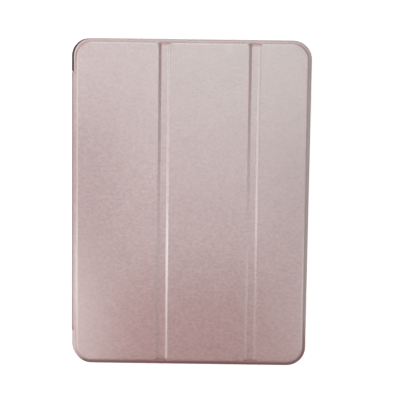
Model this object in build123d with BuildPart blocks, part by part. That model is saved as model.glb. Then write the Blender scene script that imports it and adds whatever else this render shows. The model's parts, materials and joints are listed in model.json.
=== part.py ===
from build123d import *
import os

# A tablet computer held in the hard shell of a tri-fold folio case, in millimetres.
#
# The case lies on its back with the cover closed: +Z points up out of the cover, +Y is the top edge of the
# tablet and the spine of the case runs along the -X side. The origin is the centre of the back, on the plane
# that the case rests on. Every piece is modelled closed and at rest.

os.makedirs("parts", exist_ok=True)

# ---------------------------------------------------------------------------------------------------------
# Driving dimensions
# ---------------------------------------------------------------------------------------------------------

# outline of the closed case, seen from above
case_width = 185.0
case_length = 254.0
case_radius = 14.7

# tablet body
tablet_width = 178.5
tablet_length = 247.6
tablet_thickness = 6.1
tablet_radius = 11.6
housing_floor = 0.9
housing_rim = 1.2  # metal left in sight around the glass
housing_ledge = 2.0  # shelf that carries the edge of the glass
housing_back_round = 2.2
housing_edge_chamfer = 0.25
glass_thickness = 0.7
gasket_thickness = 0.25
fine_gap = 0.1  # clearance of a glued or dropped-in piece

# hard shell around the tablet
shell_gap = 0.25
shell_wall = 1.5
shell_back = 1.3
shell_lip = 0.7  # how far the retaining lip reaches over the rim of the tablet
shell_lip_height = 0.55
shell_back_round = 1.0
shell_top_round = 0.4
shell_left_x = -92.2  # the corners beside the spine are thickened until they are level with it
shell_left_radius = 14.4
spine_recess_gap = 0.4  # clearance at each end of the spine

# layers of the folio: leather outside, stiff board, soft lining inside
leather_thickness = 0.6
lining_thickness = 0.4
board_thickness = 1.2
cover_gap = 0.2  # between the shell's lip and the lining
lining_inset = 0.3

# cover panels, as distances along X
fold_1_x = -21.2
fold_2_x = 48.3
fold_half_gap = 0.1  # each panel stops this far short of its fold line
channel_half_width = 2.0  # pressed channel floor on each side of a fold line
fold_bevel = 2.5  # slope from the channel floor up to the flat of a panel
edge_flange = 2.4  # flat pressed edge around the outside of the cover
edge_bevel = 1.3
fold_corner_radius = 2.0
cover_left_x = -90.6  # left edge of the cover above and below the spine
spine_bevel = 2.0
left_corner_radius = 13.9

# spine strip
spine_length = 201.5
spine_board_thickness = 0.4
spine_lining_thickness = 0.3
hinge_gap = 0.1

# leather inlay in the back of the shell
inlay_width = 176.0
inlay_length = 245.0
inlay_radius = 10.0
inlay_gap = 0.15

# camera corner, on the +X side of the top edge
camera_x = 75.5
camera_y = 110.0
camera_ring_radius = 6.5
camera_spigot_radius = 5.5
camera_window_radius = 4.4
camera_ring_height = 1.0
flash_y = 98.5
flash_radius = 2.0
rear_microphone_y = 93.5
camera_opening_width = 17.0
camera_opening_length = 27.0
camera_opening_y = 104.5

# keys, socket and sound openings in the edges
edge_z = 4.35  # height of everything that opens through an edge
power_key_x = 70.0
volume_key_y = [80.0, 63.5]
key_length = 12.0
key_width = 2.4
key_stand_out = 0.7
key_travel = 0.35
key_clearance = 0.15
key_flange = 0.7  # how far the retaining flange stands out around the key
key_flange_thickness = 0.6
key_root = 2.5  # depth of the key's shoulder below the edge of the housing
socket_width = 8.94
socket_height = 3.16
socket_depth = 7.2
sound_hole_radius = 0.6
sound_hole_pitch = 2.6
sound_hole_count = 9
speaker_x = 46.0
speaker_length = 28.0
speaker_depth = 13.5
top_microphone_x = -12.0
microphone_hole_radius = 0.4
microphone_z = 3.0

# inside the tablet
display_width = 162.0
display_length = 232.0
display_panel_thickness = 1.0
backlight_thickness = 0.8
back_plate_thickness = 0.2
cell_width = 56.0
cell_length = 186.0
cell_thickness = 2.2
cell_left_x = -54.5
cell_right_x = 3.0
strip_thickness = 0.1
board_center = (58.0, -1.0)
board_width = 48.0
board_length = 184.0
board_z = 3.0
circuit_thickness = 0.7
chip_thickness = 0.6
board_screw_x = [38.0, 78.0]
board_screw_y = [80.0, -10.0, -88.0]
screw_head_radius = 1.2
screw_head_thickness = 0.4
screw_radius = 0.6
boss_radius = 1.6
port_screw_x = 8.0
port_screw_y = -118.5
bracket_thickness = 0.3
edge_magnet_y = [-80.0, -45.0, -10.0, 25.0]
edge_magnet_length = 16.0
edge_magnet_width = 2.2
edge_magnet_thickness = 1.8

# camera modules, lamp and sensors
front_camera_y = 118.3
front_camera_width = 6.4
front_camera_length = 4.2
front_camera_body = 2.4
front_barrel_radius = 1.9
camera_bracket_width = 12.0
camera_bracket_thickness = 0.4
camera_bracket_foot_x = 5.0
light_sensor_x = 14.0
light_sensor_thickness = 0.6
rear_camera_side = 9.5
rear_camera_body = 2.35
rear_barrel_radius = 3.9
rear_lens_radius = 2.4
rear_lens_depth = 0.5
ring_edge_round = 0.35
lamp_side = 5.0
lamp_body = 0.7
microphone_width = 3.5
microphone_length = 2.6

# circuit parts
cell_corner_radius = 2.5
cell_edge_round = 0.7
strip_width = 10.0
strip_pitch = 30.0
strip_end_gap = 7.0  # from the end of a cell to the end of its strips
control_board_width = 70.0
control_board_length = 7.0
control_board_thickness = 0.8
control_chip_thickness = 0.7
control_chip_pitch = 12.0
board_notch = (28.0, 50.0)  # cut from the left side of the logic board
board_notch_y = -48.0
chip_column_x = 2.0  # the large chips stand this far beside the middle of the board
processor_side = 15.0
processor_y = 40.0
memory_width = 13.0
memory_length = 11.0
memory_pitch = 38.0
can_width = 24.0
can_length = 22.0
can_y = -20.0
can_wall = 0.15
spreader_width = 22.0
spreader_length = 98.0
spreader_y = 19.0
spreader_thickness = 0.1
hall_sensor_size = (1.6, 2.9, 0.8)
board_screw_shank = 1.4
port_screw_shank = 3.0
screw_slot_length = 1.1
screw_slot_width = 0.3
screw_slot_depth = 0.2

# windows through the walls of the shell
shell_key_window_reach = 3.0  # beyond each end of the keys
shell_key_window_height = 5.0
shell_sound_window_height = 3.0
shell_socket_window = (13.0, 5.6)
shell_microphone_window_radius = 1.0
inlay_camera_margin = 0.8  # the leather stops this far outside the shell's opening

# magnets in the cover
cover_magnet_y = [-92.0, -40.0, 40.0, 92.0]
cover_magnet_length = 18.0
cover_magnet_width = 4.0
cover_magnet_thickness = 1.0
closing_magnet_x = 84.5
stand_magnet_x = -83.0
wake_magnet_radius = 3.0
wake_magnet_place = (78.0, 10.0)
magnet_clearance = 0.05

# ---------------------------------------------------------------------------------------------------------
# Sizes and heights that follow from them
# ---------------------------------------------------------------------------------------------------------

tablet_back_z = shell_back
floor_z = tablet_back_z + housing_floor
glass_top_z = tablet_back_z + tablet_thickness
glass_z = glass_top_z - glass_thickness
ledge_z = glass_z - gasket_thickness
panel_z = glass_z - display_panel_thickness
backlight_z = panel_z - backlight_thickness
back_plate_z = backlight_z - back_plate_thickness
board_top_z = board_z + circuit_thickness
chip_top_z = board_top_z + chip_thickness

seat_width = tablet_width - 2 * housing_rim
seat_length = tablet_length - 2 * housing_rim
seat_radius = tablet_radius - housing_rim
cavity_width = seat_width - 2 * housing_ledge
cavity_length = seat_length - 2 * housing_ledge
cavity_radius = seat_radius - housing_ledge
wall_thickness = housing_rim + housing_ledge

shell_width = tablet_width + 2 * (shell_gap + shell_wall)
shell_length = tablet_length + 2 * (shell_gap + shell_wall)
shell_radius = tablet_radius + shell_gap + shell_wall
lip_z = glass_top_z + 0.05
shell_top_z = lip_z + shell_lip_height

lining_z = shell_top_z + cover_gap
cover_z = lining_z + lining_thickness
fold_z = cover_z + leather_thickness
panel_rise = board_thickness
panel_top_z = fold_z + panel_rise
case_right_x = case_width / 2
foot_half_length = case_length / 2 - edge_flange
flat_half_length = foot_half_length - edge_bevel
foot_corner_radius = case_radius - edge_flange
flat_corner_radius = foot_corner_radius - edge_bevel

spine_outer_x = -case_width / 2
hinge_x = spine_outer_x + leather_thickness / 2
back_hinge_z = leather_thickness / 2
cover_hinge_z = cover_z + leather_thickness / 2

half_width = tablet_width / 2
half_length = tablet_length / 2


# ---------------------------------------------------------------------------------------------------------
# Shared shapes
# ---------------------------------------------------------------------------------------------------------


def upright(z, x_left, x_right, half_height, left_radius, right_radius):
    """A flat rectangle at height z, with one corner radius on its left side and one on its right."""
    with BuildSketch(Plane.XY.offset(z)) as shape:
        with Locations(((x_left + x_right) / 2, 0)):
            Rectangle(x_right - x_left, 2 * half_height)
        if left_radius > 0:
            fillet(shape.vertices().group_by(Axis.X)[0], left_radius)
        if right_radius > 0:
            fillet(shape.vertices().group_by(Axis.X)[-1], right_radius)
    return shape.sketch


def back_inlay(gap, hinge_end_x):
    """Outline of the leather on the back: the inlay itself and the strip that runs out to the spine."""
    with BuildSketch() as shape:
        RectangleRounded(inlay_width + 2 * gap, inlay_length + 2 * gap, inlay_radius + gap)
        with Locations(((hinge_end_x - inlay_width / 4) / 2, 0)):
            Rectangle(-inlay_width / 4 - hinge_end_x, spine_length + 2 * gap)
    return shape.sketch


def camera_slot(z, margin):
    """Opening around the camera, lamp and rear microphone, with a margin added all round."""
    with BuildSketch(Plane.XY.offset(z)) as shape:
        with Locations((camera_x, camera_opening_y)):
            SlotOverall(camera_opening_length + 2 * margin, camera_opening_width + 2 * margin, rotation=90)
    return shape.sketch


def top_edge(depth=0.0):
    """Plane parallel to the top edge of the tablet, this far below it, facing into the tablet."""
    return Plane.XZ.offset(depth - half_length)


def bottom_edge(depth=0.0):
    """Plane parallel to the bottom edge of the tablet, this far inside it, facing out of the tablet."""
    return Plane.XZ.offset(half_length - depth)


def right_edge(depth=0.0):
    """Plane parallel to the right edge of the tablet, this far inside it, facing out of the tablet."""
    return Plane.YZ.offset(half_width - depth)


# ---------------------------------------------------------------------------------------------------------
# Tablet: housing, glass and display
# ---------------------------------------------------------------------------------------------------------

board_screws_at = [(x, y) for x in board_screw_x for y in board_screw_y]
port_screws_at = [(-port_screw_x, port_screw_y), (port_screw_x, port_screw_y)]
port_boss_top_z = edge_z + socket_height / 2 + 0.02
screw_hole_radius = screw_radius + 0.02

with BuildPart() as rear_housing:
    with BuildSketch(Plane.XY.offset(tablet_back_z)):
        RectangleRounded(tablet_width, tablet_length, tablet_radius)
    extrude(amount=tablet_thickness)
    fillet(rear_housing.edges().group_by(Axis.Z)[0], housing_back_round)
    chamfer(rear_housing.edges().group_by(Axis.Z)[-1], housing_edge_chamfer)
    # seat for the glass, then the cavity for everything else
    with BuildSketch(Plane.XY.offset(ledge_z)):
        RectangleRounded(seat_width, seat_length, seat_radius)
    extrude(amount=glass_top_z - ledge_z, mode=Mode.SUBTRACT)
    with BuildSketch(Plane.XY.offset(floor_z)):
        RectangleRounded(cavity_width, cavity_length, cavity_radius)
    extrude(amount=ledge_z - floor_z, mode=Mode.SUBTRACT)
    # bosses under the logic board and the socket's bracket, each with a blind screw hole
    with BuildSketch(Plane.XY.offset(floor_z)):
        with Locations(*board_screws_at):
            Circle(boss_radius)
            Circle(screw_hole_radius, mode=Mode.SUBTRACT)
    extrude(amount=board_z - floor_z)
    with BuildSketch(Plane.XY.offset(floor_z)):
        with Locations(*port_screws_at):
            Circle(boss_radius)
            Circle(screw_hole_radius, mode=Mode.SUBTRACT)
    extrude(amount=port_boss_top_z - floor_z)
    # camera, lamp and rear microphone openings through the back
    with BuildSketch(Plane.XY.offset(tablet_back_z)):
        with Locations((camera_x, camera_y)):
            Circle(camera_spigot_radius + fine_gap / 2)
        with Locations((camera_x, flash_y)):
            Circle(flash_radius + fine_gap / 2)
        with Locations((camera_x, rear_microphone_y)):
            Circle(microphone_hole_radius)
    extrude(amount=housing_floor, mode=Mode.SUBTRACT)
    # power key: a slot through the top wall and a wider pocket for its flange
    with BuildSketch(top_edge()):
        with Locations((power_key_x, edge_z)):
            SlotOverall(key_length + 2 * key_clearance, key_width + 2 * key_clearance)
        with Locations((top_microphone_x, microphone_z)):
            Circle(microphone_hole_radius)
    extrude(amount=wall_thickness, mode=Mode.SUBTRACT)
    with BuildSketch(top_edge(key_root - fine_gap)):
        with Locations((power_key_x, edge_z)):
            Rectangle(key_length + 2 * key_flange + 0.4, key_width + 2 * key_flange)
    extrude(amount=wall_thickness - key_root + fine_gap, mode=Mode.SUBTRACT)
    # volume keys: the same openings through the right wall
    with BuildSketch(right_edge()):
        with Locations(*[(y, edge_z) for y in volume_key_y]):
            SlotOverall(key_length + 2 * key_clearance, key_width + 2 * key_clearance)
    extrude(amount=-wall_thickness, mode=Mode.SUBTRACT)
    with BuildSketch(right_edge(key_root - fine_gap)):
        with Locations(*[(y, edge_z) for y in volume_key_y]):
            Rectangle(key_length + 2 * key_flange + 0.4, key_width + 2 * key_flange)
    extrude(amount=-(wall_thickness - key_root + fine_gap), mode=Mode.SUBTRACT)
    # socket opening in the bottom wall, and rows of sound holes in both end walls
    with BuildSketch(bottom_edge()):
        with Locations((0, edge_z)):
            SlotOverall(socket_width + 2 * fine_gap, socket_height + 2 * fine_gap)
        with Locations((-speaker_x, edge_z), (speaker_x, edge_z)):
            with GridLocations(sound_hole_pitch, 1, sound_hole_count, 1):
                Circle(sound_hole_radius)
    extrude(amount=-wall_thickness, mode=Mode.SUBTRACT)
    with BuildSketch(top_edge()):
        with Locations((-speaker_x, edge_z), (speaker_x, edge_z)):
            with GridLocations(sound_hole_pitch, 1, sound_hole_count, 1):
                Circle(sound_hole_radius)
    extrude(amount=wall_thickness, mode=Mode.SUBTRACT)
rear_housing.part.label = "rear_housing"
export_step(rear_housing.part, "parts/rear_housing.step")

with BuildPart() as cover_glass:
    with BuildSketch(Plane.XY.offset(glass_z)):
        RectangleRounded(seat_width - 2 * fine_gap, seat_length - 2 * fine_gap, seat_radius - fine_gap)
    extrude(amount=glass_thickness)
    fillet(cover_glass.edges().group_by(Axis.Z)[-1], 0.3)
cover_glass.part.label = "cover_glass"
export_step(cover_glass.part, "parts/cover_glass.step")

# The gasket lies on the ledge, set in a little from both of its sides.
gasket_inset = 0.3

with BuildPart() as display_gasket:
    with BuildSketch(Plane.XY.offset(ledge_z)):
        RectangleRounded(
            seat_width - 2 * gasket_inset, seat_length - 2 * gasket_inset, seat_radius - gasket_inset
        )
        RectangleRounded(
            cavity_width + 2 * gasket_inset,
            cavity_length + 2 * gasket_inset,
            cavity_radius + gasket_inset,
            mode=Mode.SUBTRACT,
        )
    extrude(amount=gasket_thickness)
display_gasket.part.label = "display_gasket"
export_step(display_gasket.part, "parts/display_gasket.step")

with BuildPart() as display_panel:
    with BuildSketch(Plane.XY.offset(panel_z)):
        Rectangle(display_width, display_length)
    extrude(amount=display_panel_thickness)
display_panel.part.label = "display_panel"
export_step(display_panel.part, "parts/display_panel.step")

with BuildPart() as backlight_unit:
    with BuildSketch(Plane.XY.offset(backlight_z)):
        Rectangle(display_width, display_length)
    extrude(amount=backlight_thickness)
backlight_unit.part.label = "backlight_unit"
export_step(backlight_unit.part, "parts/backlight_unit.step")

with BuildPart() as display_back_plate:
    with BuildSketch(Plane.XY.offset(back_plate_z)):
        RectangleRounded(display_width, display_length, 1.0)
    extrude(amount=back_plate_thickness)
display_back_plate.part.label = "display_back_plate"
export_step(display_back_plate.part, "parts/display_back_plate.step")

# Ribbon on the back of the display, with a connector that stands on the logic board.
ribbon_thickness = 0.12
ribbon_z = back_plate_z - ribbon_thickness
ribbon_y = -60.0

with BuildPart() as display_flex:
    with BuildSketch(Plane.XY.offset(ribbon_z)):
        with Locations((board_center[0], ribbon_y)):
            RectangleRounded(18, 30, 2)
    extrude(amount=ribbon_thickness)
    with BuildSketch(Plane.XY.offset(board_top_z)):
        with Locations((board_center[0], ribbon_y + 9)):
            Rectangle(14, 4)
    extrude(amount=ribbon_z - board_top_z)
display_flex.part.label = "display_flex"
export_step(display_flex.part, "parts/display_flex.step")

# ---------------------------------------------------------------------------------------------------------
# Tablet: cameras and sensors
# ---------------------------------------------------------------------------------------------------------

front_camera_bracket_z = floor_z + 0.6
front_camera_z = front_camera_bracket_z + camera_bracket_thickness

with BuildPart() as front_camera_bracket:
    with BuildSketch(Plane.XY.offset(front_camera_bracket_z)):
        with Locations((0, front_camera_y)):
            RectangleRounded(camera_bracket_width, front_camera_length, 0.8)
    extrude(amount=camera_bracket_thickness)
    with BuildSketch(Plane.XY.offset(floor_z)):
        with Locations((-camera_bracket_foot_x, front_camera_y), (camera_bracket_foot_x, front_camera_y)):
            Rectangle(1.6, 3.2)
    extrude(amount=front_camera_bracket_z - floor_z)
front_camera_bracket.part.label = "front_camera_bracket"
export_step(front_camera_bracket.part, "parts/front_camera_bracket.step")

with BuildPart() as front_camera:
    with BuildSketch(Plane.XY.offset(front_camera_z)):
        with Locations((0, front_camera_y)):
            RectangleRounded(front_camera_width, front_camera_length, 0.5)
    extrude(amount=front_camera_body)
    with BuildSketch(Plane.XY.offset(front_camera_z + front_camera_body)):
        with Locations((0, front_camera_y)):
            Circle(front_barrel_radius)
    extrude(amount=glass_z - front_camera_z - front_camera_body)
front_camera.part.label = "front_camera"
export_step(front_camera.part, "parts/front_camera.step")

with BuildPart() as ambient_light_sensor:
    with BuildSketch(Plane.XY.offset(glass_z - light_sensor_thickness)):
        with Locations((light_sensor_x, front_camera_y)):
            Rectangle(3.0, 2.0)
    extrude(amount=light_sensor_thickness)
ambient_light_sensor.part.label = "ambient_light_sensor"
export_step(ambient_light_sensor.part, "parts/ambient_light_sensor.step")

with BuildPart() as rear_camera_ring:
    with BuildSketch(Plane.XY.offset(tablet_back_z - camera_ring_height)):
        with Locations((camera_x, camera_y)):
            Circle(camera_ring_radius)
    extrude(amount=camera_ring_height)
    fillet(rear_camera_ring.edges().group_by(Axis.Z)[0], ring_edge_round)
    with BuildSketch(Plane.XY.offset(tablet_back_z)):
        with Locations((camera_x, camera_y)):
            Circle(camera_spigot_radius)
    extrude(amount=housing_floor)
    with BuildSketch(Plane.XY.offset(tablet_back_z - camera_ring_height)):
        with Locations((camera_x, camera_y)):
            Circle(camera_window_radius)
    extrude(amount=camera_ring_height + housing_floor, mode=Mode.SUBTRACT)
rear_camera_ring.part.label = "rear_camera_ring"
export_step(rear_camera_ring.part, "parts/rear_camera_ring.step")

window_z = tablet_back_z - camera_ring_height + 0.2
window_thickness = 0.6

with BuildPart() as rear_camera_window:
    with BuildSketch(Plane.XY.offset(window_z)):
        with Locations((camera_x, camera_y)):
            Circle(camera_window_radius - fine_gap / 2)
    extrude(amount=window_thickness)
rear_camera_window.part.label = "rear_camera_window"
export_step(rear_camera_window.part, "parts/rear_camera_window.step")

# The lens barrel points down through the ring, towards the window.
with BuildPart() as rear_camera:
    with BuildSketch(Plane.XY.offset(floor_z)):
        with Locations((camera_x, camera_y)):
            RectangleRounded(rear_camera_side, rear_camera_side, 0.8)
    extrude(amount=rear_camera_body)
    with BuildSketch(Plane.XY.offset(window_z + window_thickness + fine_gap)):
        with Locations((camera_x, camera_y)):
            Circle(rear_barrel_radius)
    extrude(amount=floor_z - window_z - window_thickness - fine_gap)
    with BuildSketch(Plane.XY.offset(window_z + window_thickness + fine_gap)):
        with Locations((camera_x, camera_y)):
            Circle(rear_lens_radius)
    extrude(amount=rear_lens_depth, mode=Mode.SUBTRACT)
rear_camera.part.label = "rear_camera"
export_step(rear_camera.part, "parts/rear_camera.step")

with BuildPart() as flash_lamp:
    with BuildSketch(Plane.XY.offset(tablet_back_z)):
        with Locations((camera_x, flash_y)):
            Circle(flash_radius)
    extrude(amount=housing_floor)
    with BuildSketch(Plane.XY.offset(floor_z)):
        with Locations((camera_x, flash_y)):
            RectangleRounded(lamp_side, lamp_side, 0.5)
    extrude(amount=lamp_body)
flash_lamp.part.label = "flash_lamp"
export_step(flash_lamp.part, "parts/flash_lamp.step")

# Two capsules: one over the hole in the back, one behind the hole in the top edge.
with BuildPart() as microphones:
    with BuildSketch(Plane.XY.offset(floor_z)):
        with Locations((camera_x, rear_microphone_y)):
            RectangleRounded(microphone_width, microphone_length, 0.3)
    extrude(amount=1.0)
    with BuildSketch(Plane.XY.offset(floor_z)):
        with Locations((top_microphone_x, cavity_length / 2 - 1.4)):
            RectangleRounded(microphone_width, microphone_length, 0.3)
    extrude(amount=1.6)
microphones.part.label = "microphones"
export_step(microphones.part, "parts/microphones.step")

# ---------------------------------------------------------------------------------------------------------
# Tablet: battery and logic board
# ---------------------------------------------------------------------------------------------------------

cell_z = floor_z + strip_thickness


def battery_cell(label, x):
    """A pouch cell with soft top edges."""
    with BuildPart() as cell:
        with BuildSketch(Plane.XY.offset(cell_z)):
            with Locations((x, 0)):
                RectangleRounded(cell_width, cell_length, cell_corner_radius)
        extrude(amount=cell_thickness)
        fillet(cell.edges().group_by(Axis.Z)[-1], cell_edge_round)
    cell.part.label = label
    export_step(cell.part, f"parts/{label}.step")


battery_cell("battery_cell_left", cell_left_x)
battery_cell("battery_cell_right", cell_right_x)

with BuildPart() as battery_adhesive_strips:
    with BuildSketch(Plane.XY.offset(floor_z)):
        for x in (cell_left_x, cell_right_x):
            with Locations((x, 0)):
                with GridLocations(strip_pitch, 1, 2, 1):
                    Rectangle(strip_width, cell_length - 2 * strip_end_gap)
    extrude(amount=strip_thickness)
battery_adhesive_strips.part.label = "battery_adhesive_strips"
export_step(battery_adhesive_strips.part, "parts/battery_adhesive_strips.step")

control_board_center = ((cell_left_x + cell_right_x) / 2, cell_length / 2 + 5)

with BuildPart() as battery_control_board:
    with BuildSketch(Plane.XY.offset(floor_z)):
        with Locations(control_board_center):
            RectangleRounded(control_board_width, control_board_length, 1)
    extrude(amount=control_board_thickness)
    with BuildSketch(Plane.XY.offset(floor_z + control_board_thickness)):
        with Locations(control_board_center):
            with GridLocations(control_chip_pitch, 1, 5, 1):
                Rectangle(5, 3.4)
    extrude(amount=control_chip_thickness)
battery_control_board.part.label = "battery_control_board"
export_step(battery_control_board.part, "parts/battery_control_board.step")

with BuildPart() as logic_board:
    with BuildSketch(Plane.XY.offset(board_z)):
        with Locations(board_center):
            RectangleRounded(board_width, board_length, 2)
        with Locations((board_center[0] - board_width / 2, board_notch_y)):
            Rectangle(*board_notch, mode=Mode.SUBTRACT)
        with Locations(*board_screws_at):
            Circle(screw_radius + fine_gap, mode=Mode.SUBTRACT)
    extrude(amount=circuit_thickness)
logic_board.part.label = "logic_board"
export_step(logic_board.part, "parts/logic_board.step")

chip_x = board_center[0] + chip_column_x

with BuildPart() as processor:
    with BuildSketch(Plane.XY.offset(board_top_z)):
        with Locations((chip_x, processor_y)):
            RectangleRounded(processor_side, processor_side, 0.4)
    extrude(amount=chip_thickness)
processor.part.label = "processor"
export_step(processor.part, "parts/processor.step")

with BuildPart() as memory_chips:
    with BuildSketch(Plane.XY.offset(board_top_z)):
        with Locations((chip_x, processor_y)):
            with GridLocations(1, memory_pitch, 1, 2):
                RectangleRounded(memory_width, memory_length, 0.3)
    extrude(amount=chip_thickness)
memory_chips.part.label = "memory_chips"
export_step(memory_chips.part, "parts/memory_chips.step")

with BuildPart() as shield_can:
    with BuildSketch(Plane.XY.offset(board_top_z)):
        with Locations((chip_x, can_y)):
            RectangleRounded(can_width, can_length, 1)
    extrude(amount=chip_thickness)
    with BuildSketch(Plane.XY.offset(board_top_z)):
        with Locations((chip_x, can_y)):
            RectangleRounded(can_width - 2 * can_wall, can_length - 2 * can_wall, 1 - can_wall)
    extrude(amount=chip_thickness - can_wall, mode=Mode.SUBTRACT)
shield_can.part.label = "shield_can"
export_step(shield_can.part, "parts/shield_can.step")

with BuildPart() as heat_spreader:
    with BuildSketch(Plane.XY.offset(chip_top_z)):
        with Locations((chip_x, spreader_y)):
            RectangleRounded(spreader_width, spreader_length, 2)
    extrude(amount=spreader_thickness)
heat_spreader.part.label = "heat_spreader"
export_step(heat_spreader.part, "parts/heat_spreader.step")

with BuildPart() as hall_sensor:
    with BuildSketch(Plane.XY.offset(board_top_z)):
        with Locations(wake_magnet_place):
            Rectangle(hall_sensor_size[0], hall_sensor_size[1])
    extrude(amount=hall_sensor_size[2])
hall_sensor.part.label = "hall_sensor"
export_step(hall_sensor.part, "parts/hall_sensor.step")


def screws(label, places, seat_z, shank):
    """Small pan-head screws, all at the same height, as one group of separate solids."""
    with BuildPart() as group:
        with BuildSketch(Plane.XY.offset(seat_z)):
            with Locations(*places):
                Circle(screw_head_radius)
        extrude(amount=screw_head_thickness)
        fillet(group.edges().group_by(Axis.Z)[-1], 0.2)
        with BuildSketch(Plane.XY.offset(seat_z - shank)):
            with Locations(*places):
                Circle(screw_radius)
        extrude(amount=shank)
        with BuildSketch(Plane.XY.offset(seat_z + screw_head_thickness)):
            with Locations(*places):
                Rectangle(screw_slot_length, screw_slot_width)
                Rectangle(screw_slot_width, screw_slot_length)
        extrude(amount=-screw_slot_depth, mode=Mode.SUBTRACT)
    group.part.label = label
    export_step(group.part, f"parts/{label}.step")


screws("board_screws", board_screws_at, board_top_z, board_screw_shank)
screws("port_screws", port_screws_at, port_boss_top_z + bracket_thickness, port_screw_shank)

# ---------------------------------------------------------------------------------------------------------
# Tablet: speakers, socket, antennas and edge magnets
# ---------------------------------------------------------------------------------------------------------

mesh_thickness = 0.35
speaker_front_y = cavity_length / 2 - 0.5
speaker_height = 2.3


def speaker(label, x, end):
    """A flat speaker box whose front faces the sound holes of one end wall; end is +1 or -1."""
    with BuildPart() as box:
        with BuildSketch(Plane.XY.offset(floor_z)):
            with Locations((x, end * (speaker_front_y - speaker_depth / 2))):
                RectangleRounded(speaker_length, speaker_depth, 1.5)
        extrude(amount=speaker_height)
        with BuildSketch(Plane.XY.offset(floor_z + speaker_height)):
            with Locations((x, end * (speaker_front_y - speaker_depth / 2 - 1))):
                SlotOverall(16, 8)
        extrude(amount=0.15)
        with BuildSketch(Plane.XZ.offset(-end * speaker_front_y)):
            with Locations((x, floor_z + speaker_height / 2 + 0.3)):
                Rectangle(sound_hole_pitch * sound_hole_count - 2, 1.1)
        extrude(amount=end, mode=Mode.SUBTRACT)
    box.part.label = label
    export_step(box.part, f"parts/{label}.step")


speaker("speaker_top_left", -speaker_x, 1)
speaker("speaker_top_right", speaker_x, 1)
speaker("speaker_bottom_left", -speaker_x, -1)
speaker("speaker_bottom_right", speaker_x, -1)

with BuildPart() as speaker_meshes:
    with BuildSketch(Plane.XY.offset(edge_z - 1)):
        with GridLocations(2 * speaker_x, cavity_length - mesh_thickness - 0.06, 2, 2):
            Rectangle(sound_hole_pitch * sound_hole_count, mesh_thickness)
    extrude(amount=2)
speaker_meshes.part.label = "speaker_meshes"
export_step(speaker_meshes.part, "parts/speaker_meshes.step")

# A metal sleeve, open towards the edge, with a tongue standing in the middle of it.
with BuildPart() as charging_port:
    with BuildSketch(bottom_edge(fine_gap)):
        with Locations((0, edge_z)):
            SlotOverall(socket_width, socket_height)
    extrude(amount=-socket_depth)
    with BuildSketch(bottom_edge(fine_gap)):
        with Locations((0, edge_z)):
            SlotOverall(socket_width - 0.6, socket_height - 0.6)
    extrude(amount=-(socket_depth - 1), mode=Mode.SUBTRACT)
    with BuildSketch(bottom_edge(fine_gap + 0.8)):
        with Locations((0, edge_z)):
            Rectangle(6.7, 0.7)
    extrude(amount=-(socket_depth - 1.6))
charging_port.part.label = "charging_port"
export_step(charging_port.part, "parts/charging_port.step")

with BuildPart() as port_bracket:
    with BuildSketch(Plane.XY.offset(port_boss_top_z)):
        with Locations((0, port_screw_y)):
            RectangleRounded(20, 3.4, 1)
        with Locations(*port_screws_at):
            Circle(screw_radius + fine_gap, mode=Mode.SUBTRACT)
    extrude(amount=bracket_thickness)
port_bracket.part.label = "port_bracket"
export_step(port_bracket.part, "parts/port_bracket.step")

with BuildPart() as wifi_antennas:
    with BuildSketch(Plane.XY.offset(edge_z + 0.9)):
        with Locations((-22, cavity_length / 2 - 1.6), (22, cavity_length / 2 - 1.6)):
            Rectangle(22, 3.2)
    extrude(amount=0.5)
wifi_antennas.part.label = "wifi_antennas"
export_step(wifi_antennas.part, "parts/wifi_antennas.step")


def edge_magnets(label, side):
    """A row of bar magnets along the inside of one long wall; side is +1 or -1."""
    with BuildPart() as row:
        with BuildSketch(Plane.XY.offset(floor_z)):
            x = side * (cavity_width / 2 - edge_magnet_width / 2)
            with Locations(*[(x, y) for y in edge_magnet_y]):
                RectangleRounded(edge_magnet_width, edge_magnet_length, 0.3)
        extrude(amount=edge_magnet_thickness)
    row.part.label = label
    export_step(row.part, f"parts/{label}.step")


edge_magnets("magnets_left_edge", -1)
edge_magnets("magnets_right_edge", 1)

# ---------------------------------------------------------------------------------------------------------
# Tablet: keys and their switches
# ---------------------------------------------------------------------------------------------------------

dome_height = 0.2
dome_depth = key_root + key_flange_thickness + key_travel + 0.05
switch_thickness = 0.9
switch_height = 3.4

with BuildPart() as power_key:
    with BuildSketch(top_edge(-key_stand_out)):
        with Locations((power_key_x, edge_z)):
            SlotOverall(key_length, key_width)
    extrude(amount=key_stand_out + key_root)
    fillet(power_key.edges().group_by(Axis.Y)[-1], 0.3)
    with BuildSketch(top_edge(key_root)):
        with Locations((power_key_x, edge_z)):
            Rectangle(key_length + 2 * key_flange, key_width + 2 * key_flange - 0.4)
    extrude(amount=key_flange_thickness)
power_key.part.label = "power_key"
export_step(power_key.part, "parts/power_key.step")

with BuildPart() as power_switch:
    with BuildSketch(Plane.XY.offset(floor_z)):
        with Locations((power_key_x, half_length - dome_depth - dome_height - switch_thickness / 2)):
            Rectangle(key_length - 1, switch_thickness)
    extrude(amount=switch_height)
    with BuildSketch(top_edge(dome_depth)):
        with Locations((power_key_x, edge_z)):
            Circle(1.1)
    extrude(amount=dome_height)
power_switch.part.label = "power_switch"
export_step(power_switch.part, "parts/power_switch.step")


def volume_key(label, y):
    """A key in the right edge of the tablet, with its retaining flange."""
    with BuildPart() as key:
        with BuildSketch(right_edge(-key_stand_out)):
            with Locations((y, edge_z)):
                SlotOverall(key_length, key_width)
        extrude(amount=-(key_stand_out + key_root))
        fillet(key.edges().group_by(Axis.X)[-1], 0.3)
        with BuildSketch(right_edge(key_root)):
            with Locations((y, edge_z)):
                Rectangle(key_length + 2 * key_flange, key_width + 2 * key_flange - 0.4)
        extrude(amount=-key_flange_thickness)
    key.part.label = label
    export_step(key.part, f"parts/{label}.step")


volume_key("volume_up_key", volume_key_y[0])
volume_key("volume_down_key", volume_key_y[1])

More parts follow.
